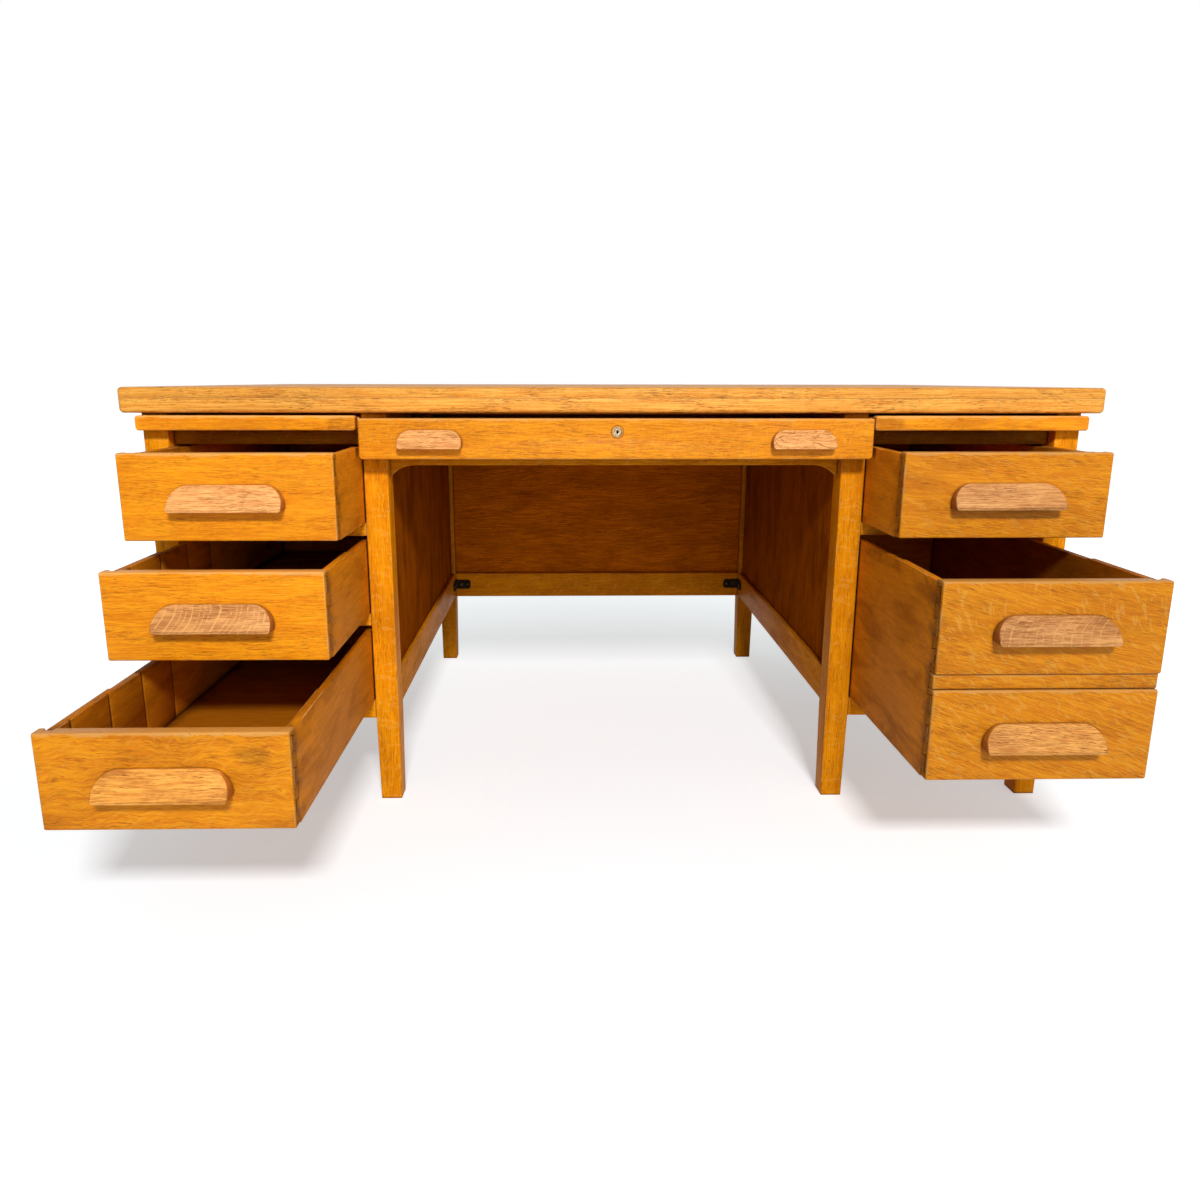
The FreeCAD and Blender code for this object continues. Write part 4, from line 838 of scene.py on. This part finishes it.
def block(name: str, low: Vector, high: Vector) -> bpy.types.Object:
    """Add a plain block between two corners, with its place in its mesh."""
    bpy.ops.object.select_all(action="DESELECT")
    bpy.ops.mesh.primitive_cube_add(size=1.0)
    made = bpy.context.active_object
    made.name = name
    with editing(made):
        bpy.ops.transform.resize(value=high - low)
        bpy.ops.transform.translate(value=(low + high) / 2)
    return made


def bevel_edges(piece: bpy.types.Object, wanted: Test, width: float, segments: int) -> None:
    """Round the edges that a test wants to a width, with so many faces across."""
    with editing(piece):
        pick(piece, Part.EDGE, wanted)
        bpy.ops.mesh.bevel(offset=width, segments=segments, profile=0.5, affect="EDGES",
                           clamp_overlap=False)


def cut_away(piece: bpy.types.Object, cutter: bpy.types.Object) -> None:
    """Cut one piece out of another and drop the cutter."""
    only(piece)
    cut = piece.modifiers.new("cut", "BOOLEAN")
    cut.operation = "DIFFERENCE"
    cut.solver = "EXACT"
    cut.object = cutter
    bpy.ops.object.modifier_apply(modifier=cut.name)
    bpy.data.objects.remove(cutter)


def mark_out(board: bpy.types.Object, grain: Grain, seed: str) -> None:
    """Write on a board where its points lie, along, across and through its grain, and its look.

    Args:
        board: A board of its own, not yet joined to others.
        grain: Direction of its grain.
        seed: Word that picks the board's look and its own stretch of figure.
    """
    points = np.array([vertex.co for vertex in board.data.vertices])
    low, high = points.min(axis=0), points.max(axis=0)
    order = sorted(range(3), key=lambda axis: -(high - low)[axis])
    if grain is not Grain.LONGEST:
        order.remove(grain.value)
        order.insert(0, grain.value)
    chance = random.Random(seed)
    start = [chance.uniform(5.0, 60.0) for _ in range(3)]
    look = LOOKS.get(seed) or Look(value=chance.uniform(0.96, 1.03), turn=chance.uniform(0.7, 1.4))
    rows = ((points - (low + high) / 2)[:, order], ((high - low) / 2)[order], start,
            (look.value, look.fleck, look.turn), (look.pitch, look.mottle, look.crack),
            (look.wave, look.lean, look.bow), look.spot, look.tint)
    for name, row in zip(LABELS, rows):
        attribute = board.data.attributes.new(name, "FLOAT_VECTOR", "POINT")
        attribute.data.foreach_set("vector", np.broadcast_to(row, points.shape)
                                   .astype(np.float32).ravel())


def solids_of(mesh: bpy.types.Mesh) -> list[list[int]]:
    """Part a mesh of loose triangles into its closed solids.

    A solid is whole once each of its edges has been met in both directions.

    Args:
        mesh: Mesh whose solids follow each other.

    Returns:
        Numbers of each solid's faces.
    """
    places = 6
    open_edges: Counter = Counter()
    solids, faces = [], []
    for face in mesh.polygons:
        corners = [tuple(round(part, places) for part in mesh.vertices[index].co)
                   for index in face.vertices]
        faces.append(face.index)
        for start, end in zip(corners, corners[1:] + corners[:1]):
            if start == end:
                continue
            if open_edges[end, start] > 1:
                open_edges[end, start] -= 1
            elif open_edges[end, start]:
                del open_edges[end, start]
            else:
                open_edges[start, end] += 1
        if not open_edges:
            solids.append(faces)
            faces = []
    return solids + [faces] if faces else solids


@dataclass
class Joinery:
    """Common ground of the sub-assemblies: the frame, the finishes and the body they ride on."""

    frame: dict
    finishes: Finishes
    body: str = "carcase"
    arris: float = 0.0009
    thinnest_side: float = 0.05
    hair: float = 0.0002
    flat: float = math.radians(0.5)

    def boxes(self, node: str) -> list[Box]:
        """Find the box of each solid of a CAD node."""
        mesh = self.frame["nodes"][node].data
        return [box_of(mesh.vertices[index].co for face in faces
                       for index in mesh.polygons[face].vertices) for faces in solids_of(mesh)]

    def boards(self, node: str, finish: Finish, grain: Grain = Grain.LONGEST,
               arris: float | None = None,
               shape: Callable[[bpy.types.Object], None] | None = None) -> None:
        """Copy a node board by board, round its arrises and dress it.

        Args:
            node: The CAD node.
            finish: Finish of its boards.
            grain: Direction of the grain.
            arris: Width of the rounded arrises, or None for the usual one.
            shape: What is done to each board before its arrises are rounded.
        """
        source = self.frame["nodes"][node]
        boards = []
        for number, faces in enumerate(solids_of(source.data)):
            board = bpy.data.objects.new(f"{node}_{number}", source.data.copy())
            bpy.context.scene.collection.objects.link(board)
            with editing(board):
                pick(board, Part.FACE, lambda face, kept=set(faces): face.index not in kept)
                bpy.ops.mesh.delete(type="FACE")
                bpy.ops.mesh.select_all(action="SELECT")
                bpy.ops.mesh.remove_doubles(threshold=TOUCH)
                bpy.ops.mesh.dissolve_limited(angle_limit=self.flat)
            if shape:
                shape(board)
            soften(board, self.arris if arris is None else arris)
            mark_out(board, grain, f"{node}{number}")
            boards.append(board)
        self.set_in(boards, f"{node}_worn", finish, node)

    def plane_back(self, board: bpy.types.Object) -> None:
        """Plane a hair off the back of a front board, so that it closes without rubbing."""
        low, high = box_of(vertex.co for vertex in board.data.vertices)
        if high.y - low.y > self.thinnest_side:
            return
        with editing(board):
            pick(board, Part.VERT, lambda vertex: vertex.co.y > high.y - TOUCH)
            bpy.ops.transform.translate(value=(0.0, -self.hair, 0.0))

    def set_in(self, boards: list[bpy.types.Object], name: str, finish: Finish,
               node: str | None = None, smooth: float = 32.0) -> None:
        """Join boards to one piece, shade and dress it, and let it ride on its body.

        Args:
            boards: The finished boards.
            name: Name of the piece.
            finish: Its finish.
            node: The CAD node that it replaces, if there is one.
            smooth: Largest turn in degrees that is shaded smoothly.
        """
        piece = boards[0]
        only(*boards)
        if len(boards) > 1:
            bpy.ops.object.join()
        piece.name = piece.data.name = name
        bpy.ops.object.shade_smooth_by_angle(angle=math.radians(smooth))
        self.finishes.put_on(piece, finish)
        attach(piece, self.body)
        if node:
            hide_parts(node)
        log.info("%s on %s", piece.name, self.body)


# ---------------------------------------------------------------- sub-assemblies


@dataclass
class TopSlab(Joinery):
    """The top: an upper board on four strips, with rounded corners and arrises."""

    corner_round: float = 0.009
    arris_round: float = 0.007
    joint_arris: float = 0.0007
    sharp: float = 0.5

    def build(self) -> None:
        """Model the upper board and the strips."""
        outer = low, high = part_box("top_board")
        board = block("top_board_worn", low, high)
        self.round_corners(board, outer)
        self.round_rim(board, high.z, self.arris_round, 6)
        self.round_rim(board, low.z, self.joint_arris)
        mark_out(board, Grain.ALONG_X, "top_board")
        self.set_in([board], "top_board_worn", TOP_OAK, "top_board")

        strips = []
        margin = self.corner_round + TOUCH
        for number, (near, far) in enumerate(self.boxes("top_edge_strips")):
            strip = block(f"strip_{number}", near, far)
            self.round_corners(strip, outer)
            bevel_edges(strip, lambda edge, base=near.z: lies_at(edge, 2, base) and any(
                lies_at(edge, axis, limit[axis], margin) for axis in (0, 1) for limit in outer),
                self.arris_round, 6)
            self.round_rim(strip, far.z, self.joint_arris)
            mark_out(strip, Grain.LONGEST, f"strip_{number}")
            strips.append(strip)
        self.set_in(strips, "top_edge_strips_worn", TOP_OAK, "top_edge_strips")

    def round_corners(self, piece: bpy.types.Object, outer: Box) -> None:
        """Round the upright edges that lie at the top's four corners."""
        bevel_edges(piece, lambda edge: all(any(lies_at(edge, axis, limit[axis]) for limit in outer)
                                            for axis in (0, 1)), self.corner_round, 8)

    def round_rim(self, piece: bpy.types.Object, level: float, width: float,
                  segments: int = 2) -> None:
        """Round the sharp edges of a piece at one level to a width."""
        bevel_edges(piece, lambda edge: lies_at(edge, 2, level)
                    and edge.calc_face_angle(0.0) > self.sharp, width, segments)


@dataclass
class Pull:
    """D-shaped pull: a sloping face, quarter-round ends and a finger groove from below."""

    end_round: float = 0.031
    heel_round: float = 0.006
    nose: float = 0.005
    crest: float = 0.004
    wall: float = 0.008
    rim: float = 0.0011
    spare: float = 0.005
    knife: float = 1e-6

    def build(self, name: str, space: Box) -> bpy.types.Object:
        """Model one pull.

        Args:
            name: The pull's name.
            space: Lowest and highest corner of its space.

        Returns:
            The pull, as one board.
        """
        low, high = space
        pull = block(name, low, high)
        for level, width, segments in ((high.z, self.end_round, 14), (low.z, self.heel_round, 4)):
            bevel_edges(pull, lambda edge, level=level: lies_at(edge, 2, level)
                        and abs(edge.verts[0].co.y - edge.verts[1].co.y) > TOUCH, width, segments)
        self.slope_off(pull, space, 0.0, high.z)
        top = high.z - 2 * self.wall
        cutter = block("finger_groove",
                       Vector((low.x + self.wall, low.y + self.wall, low.z - self.spare)),
                       Vector((high.x - self.wall, high.y + self.spare, top)))
        self.slope_off(cutter, space, self.wall, top)
        cut_away(pull, cutter)
        soften(pull, self.rim, segments=3, angle=24.0)
        return pull

    def slope_off(self, piece: bpy.types.Object, space: Box, inset: float, top: float) -> None:
        """Cut the face of a piece to a slope.

        Args:
            piece: The pull, or the cutter of its groove.
            space: Lowest and highest corner of the pull.
            inset: How far behind the pull's face the slope starts.
            top: Height at which it ends.
        """
        low, high = space
        toe = (low.x, low.y + inset, low.z + self.nose)
        slope = Vector((0.0, toe[2] - top, high.y - self.crest - toe[1]))
        with editing(piece):
            bpy.ops.mesh.bisect(plane_co=toe, plane_no=slope.normalized(), use_fill=True,
                                clear_outer=True, threshold=self.knife)


@dataclass
class Carcase(Joinery):
    """Legs, framed panels, front rails, runners and the arched rail."""

    leg_arris: float = 0.0006
    panel_arris: float = 0.0004

    def build(self) -> None:
        """Dress every piece of the carcase."""
        for side in ("left", "right"):
            for column in ("inner", "outer"):
                for row in ("front", "back"):
                    self.boards(f"leg_{side}_{column}_{row}", FRAME_OAK, Grain.ALONG_Z,
                                self.leg_arris)
                self.boards(f"side_panel_{side}_{column}", PANEL_OAK, Grain.ALONG_Z,
                            self.panel_arris)
            self.boards(f"side_rails_{side}", FRAME_OAK)
            self.boards(f"front_rails_{side}", FRAME_OAK)
            self.boards(f"drawer_runners_{side}", BOX_OAK)
            self.boards(f"back_panel_{side}", PANEL_OAK, Grain.ALONG_Z, self.panel_arris)
        self.boards("back_rails", FRAME_OAK)
        self.boards("modesty_rails", FRAME_OAK)
        self.boards("modesty_panel", MODESTY_OAK, Grain.ALONG_X, self.panel_arris)
        self.boards("apron_rail", FRAME_OAK, Grain.ALONG_X)
        self.boards("centre_runners", BOX_OAK)


@dataclass
class Brackets(Joinery):
    """Two steel angles behind the kneehole and their slotted screws."""

    slot_width: float = 0.0012
    slot_depth: float = 0.0007
    steel: float = 0.0025
    steel_arris: float = 0.0004
    end_round: float = 0.007
    dome: float = 0.85

    def build(self) -> None:
        """Dress the angles and model the screws."""
        self.boards("corner_brackets", BLACK_STEEL, arris=self.steel_arris,
                    shape=self.round_ends)
        heads = [self.screw(number, space)
                 for number, space in enumerate(self.boxes("bracket_screws"))]
        self.set_in(heads, "bracket_screws_slotted", SCREW_STEEL, "bracket_screws", smooth=40.0)

    def round_ends(self, angle: bpy.types.Object) -> None:
        """Round the corners at both ends of an angle."""
        bevel_edges(angle, lambda edge: edge.calc_length() < self.steel * 1.2, self.end_round, 5)

    def screw(self, number: int, space: Box) -> bpy.types.Object:
        """Model one domed screw head with a slot.

        Args:
            number: Number of the screw.
            space: Lowest and highest corner of its head.

        Returns:
            The head.
        """
        low, high = space
        middle, extent = (low + high) / 2, high - low
        thin = min(range(3), key=lambda axis: extent[axis])
        rise, radius = extent[thin], max(extent) / 2
        axis = Vector()
        axis[thin] = -1.0 if thin == 1 or middle.x > 0 else 1.0
        bpy.ops.object.select_all(action="DESELECT")
        bpy.ops.mesh.primitive_cylinder_add(vertices=24, radius=radius, depth=rise,
                                            location=middle,
                                            rotation=axis.to_track_quat("Z", "Y").to_euler())
        head = bpy.context.active_object
        head.name = f"screw_{number}"
        bpy.ops.object.transform_apply(location=True, rotation=True, scale=True)
        crown = middle + axis * rise / 2
        bevel_edges(head, lambda edge: all((v.co - crown).dot(axis) > -TOUCH for v in edge.verts),
                    rise * self.dome, 4)
        reach = Vector((radius, radius, radius))
        reach[thin] = self.slot_depth
        reach[2 if number % 2 else (0 if thin == 1 else 1)] = self.slot_width / 2
        cut_away(head, block("screw_slot", crown - reach, crown + reach))
        return head


@dataclass
class PedestalDrawer(Joinery):
    """A drawer of a pedestal: front, box, bottom and its pulls."""

    label: str = "left_top"
    pull: Pull = field(default_factory=Pull)
    front_arris: float = 0.0022
    bottom_arris: float = 0.0003
    shortest_side: float = 0.1
    unworn: float = 0.155
    slope: float = 0.007
    rubbed: float = 0.0022

    def build(self) -> None:
        """Dress the drawer's boards and model its pulls."""
        self.boards(f"{self.label}_front", FRONT_OAK, Grain.ALONG_X, self.front_arris)
        self.boards(f"{self.label}_box", BOX_OAK, shape=self.rub_down)
        self.boards(f"{self.label}_bottom", BOX_OAK, Grain.ALONG_X, self.bottom_arris)
        self.pulls(f"{self.label}_handle")

    def rub_down(self, board: bpy.types.Object) -> None:
        """Rub down the top of a side, behind the stretch that never ran under the frame."""
        low, high = box_of(vertex.co for vertex in board.data.vertices)
        if high.y - low.y < self.shortest_side:
            return
        with editing(board):
            for place in (low.y + self.unworn, low.y + self.unworn + self.slope):
                bpy.ops.mesh.select_all(action="SELECT")
                bpy.ops.mesh.bisect(plane_co=(0.0, place, 0.0), plane_no=(0.0, 1.0, 0.0))
            pick(board, Part.VERT, lambda vertex: vertex.co.z > high.z - TOUCH
                 and vertex.co.y > low.y + self.unworn + self.slope / 2)
            bpy.ops.transform.translate(value=(0.0, 0.0, -self.rubbed))

    def pulls(self, node: str) -> None:
        """Model the pulls that one CAD node holds."""
        made = []
        for number, space in enumerate(self.boxes(node)):
            made.append(self.pull.build(f"{node}_{number}", space))
            mark_out(made[-1], Grain.ALONG_X, f"{node}{number}")
        self.set_in(made, f"{node}_carved", PULL_OAK, node)


@dataclass
class CentreDrawer(PedestalDrawer):
    """The shallow drawer over the kneehole, with its lock."""

    label: str = "centre"
    body: str = "centre_drawer"
    pull: Pull = field(default_factory=lambda: Pull(end_round=0.023))
    lock_arris: float = 0.0003
    case_arris: float = 0.0005

    def build(self) -> None:
        """Dress the centre drawer and its lock."""
        self.boards("centre_front", FRONT_OAK, Grain.ALONG_X, self.front_arris, self.plane_back)
        self.boards("centre_box", BOX_OAK)
        self.boards("centre_bottom", BOX_OAK, Grain.ALONG_X, self.bottom_arris)
        self.pulls("centre_handles")
        self.boards("lock_case", OLD_BRASS, arris=self.case_arris)
        for body, finish in (("lock_plug", KEY_BRASS), ("lock_bolt", LOCK_STEEL)):
            self.body = body
            self.boards(body, finish, arris=self.lock_arris)


@dataclass
class WritingSlide(Joinery):
    """A board that slides out above a pedestal, with its lip."""

    side: Side = Side.LEFT

    def build(self) -> None:
        """Dress the slide."""
        self.body = f"writing_slide_{self.side.value}"
        self.boards(self.body, FRONT_OAK, shape=self.plane_back)


@dataclass
class BearerRail(Joinery):
    """Rail between the front legs that carries a writing slide."""

    side: Side = Side.LEFT
    set_back: float = 0.021
    thickness: float = 0.018
    clearance: float = 0.0018
    play: float = 0.0003

    def build(self) -> None:
        """Model the rail over the top drawer and under the slide."""
        name = self.side.value
        outer, inner = (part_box(f"leg_{name}_{column}_front") for column in ("outer", "inner"))
        front = outer[0].y + self.set_back
        rail = block(f"bearer_rail_{name}",
                     Vector((min(outer[1].x, inner[1].x), front,
                             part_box(f"{name}_top_box")[1].z + self.clearance)),
                     Vector((max(outer[0].x, inner[0].x), front + self.thickness,
                             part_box(f"writing_slide_{name}")[0].z - self.play)))
        soften(rail, self.arris)
        mark_out(rail, Grain.ALONG_X, rail.name)
        self.set_in([rail], rail.name, FRAME_OAK)


@dataclass(frozen=True)
class Lamp:
    """A large soft lamp: where it hangs, where it points, its extent and its power in watts."""

    name: str
    place: Triple
    target: Triple
    extent: tuple[float, float]
    power: float

    def hang(self) -> None:
        """Hang the lamp."""
        data = bpy.data.lights.new(self.name, "AREA")
        data.shape = "RECTANGLE"
        data.size, data.size_y = self.extent
        data.energy = self.power
        lamp = bpy.data.objects.new(self.name, data)
        lamp.location = self.place
        aim = Vector(self.target) - Vector(self.place)
        lamp.rotation_euler = aim.to_track_quat("-Z", "Y").to_euler()
        bpy.context.scene.collection.objects.link(lamp)


KEY_LAMP = Lamp("key", (0.3, -3.8, 3.1), (0.0, -0.1, 0.35), (0.9, 0.5), 163.0)
FRONT_LAMP = Lamp("front", (2.0, -5.1, 1.5), (0.0, 0.0, 0.4), (4.5, 2.2), 46.0)


@dataclass
class Studio:
    """Plain pale floor, soft light and the camera."""

    lamps: tuple[Lamp, ...] = (KEY_LAMP, FRONT_LAMP)
    floor_size: float = 60.0
    floor_paint: tuple[float, ...] = (0.86, 0.885, 0.91, 1.0)
    glow_middle: Triple = (0.0, -0.9, 0.0)
    glow_tint: tuple[float, ...] = (0.95, 0.99, 1.0, 1.0)
    near_glow: float = 0.405
    near_reach: float = 0.5
    far_reach: float = 3.3
    room_light: float = 0.14
    camera_place: Triple = (-0.0858, -1.6763, 0.7750)
    camera_yaw: float = 0.0184
    camera_pitch: float = 0.2100
    camera_roll: float = -0.0014
    lens: float = 25.325
    sensor: float = 36.0
    shift: tuple[float, float] = (0.01496, -0.03381)

    def build(self) -> None:
        """Set up floor, light and camera."""
        self.lay_floor()
        for lamp in self.lamps:
            lamp.hang()
        self.light_world()
        self.set_camera()

    def seen_straight(self, wiring: Wiring) -> Socket:
        """Tell what the camera sees, straight, mirrored or through glass."""
        ray = wiring.add("LightPath").outputs
        return wiring.maths("MAXIMUM", ray["Is Camera Ray"],
                            wiring.maths("MAXIMUM", ray["Is Glossy Ray"],
                                         ray["Is Transmission Ray"]))

    def lay_floor(self) -> None:
        """Lay the floor, which looks white but for the desk's shadow."""
        bpy.ops.object.select_all(action="DESELECT")
        bpy.ops.mesh.primitive_plane_add(size=self.floor_size)
        floor = bpy.context.active_object
        floor.name = "floor"
        made, wiring = bare_material("pale_floor")
        away = wiring.distance(wiring.add("TexCoord").outputs["Object"], self.glow_middle)
        spread = wiring.ease(away, self.near_reach, self.far_reach, self.near_glow, 1.0)
        paint = wiring.fill(wiring.add("BsdfDiffuse"), Color=self.floor_paint)
        glow = wiring.fill(wiring.add("Emission"), Color=self.glow_tint,
                           Strength=wiring.times(self.seen_straight(wiring), spread))
        wiring.show(wiring.add("AddShader", paint.outputs[0], glow.outputs[0]))
        floor.data.materials.append(made)

    def light_world(self) -> None:
        """Give the world a soft light, and white to what looks straight at it."""
        world = bpy.data.worlds.new("studio")
        bpy.context.scene.world = world
        world.use_nodes = True
        world.node_tree.nodes.clear()
        wiring = Wiring(world.node_tree)
        strength = wiring.ease(self.seen_straight(wiring), 0.0, 1.0, self.room_light, 1.0)
        wiring.show(wiring.fill(wiring.add("Background"), Color=(1.0, 1.0, 1.0, 1.0),
                                Strength=strength), "OutputWorld")

    def set_camera(self) -> None:
        """Place the camera in front of the desk, a little above its top."""
        data = bpy.data.cameras.new("camera")
        data.lens = self.lens
        data.sensor_width = self.sensor
        data.shift_x, data.shift_y = self.shift
        camera = bpy.data.objects.new("camera", data)
        camera.location = self.camera_place
        camera.rotation_euler = (math.pi / 2 - self.camera_pitch, self.camera_roll,
                                 -self.camera_yaw)
        bpy.context.scene.collection.objects.link(camera)
        bpy.context.scene.camera = camera


def main() -> None:
    """Build the desk and its studio."""
    logging.basicConfig(level=logging.INFO, format="%(name)s: %(message)s")
    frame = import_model()
    bpy.context.scene.view_settings.view_transform = "Standard"
    finishes = Finishes()
    parts = [TopSlab(frame, finishes), Carcase(frame, finishes), Brackets(frame, finishes)]
    for label in ("left_top", "left_middle", "left_bottom", "right_top", "right_deep"):
        parts.append(PedestalDrawer(frame, finishes, body=f"{label}_drawer", label=label))
    parts.append(CentreDrawer(frame, finishes))
    parts += [WritingSlide(frame, finishes, side=side) for side in Side]
    parts += [BearerRail(frame, finishes, side=side) for side in Side]
    parts.append(Studio())
    for part in parts:
        part.build()


if __name__ == "__main__":
    main()
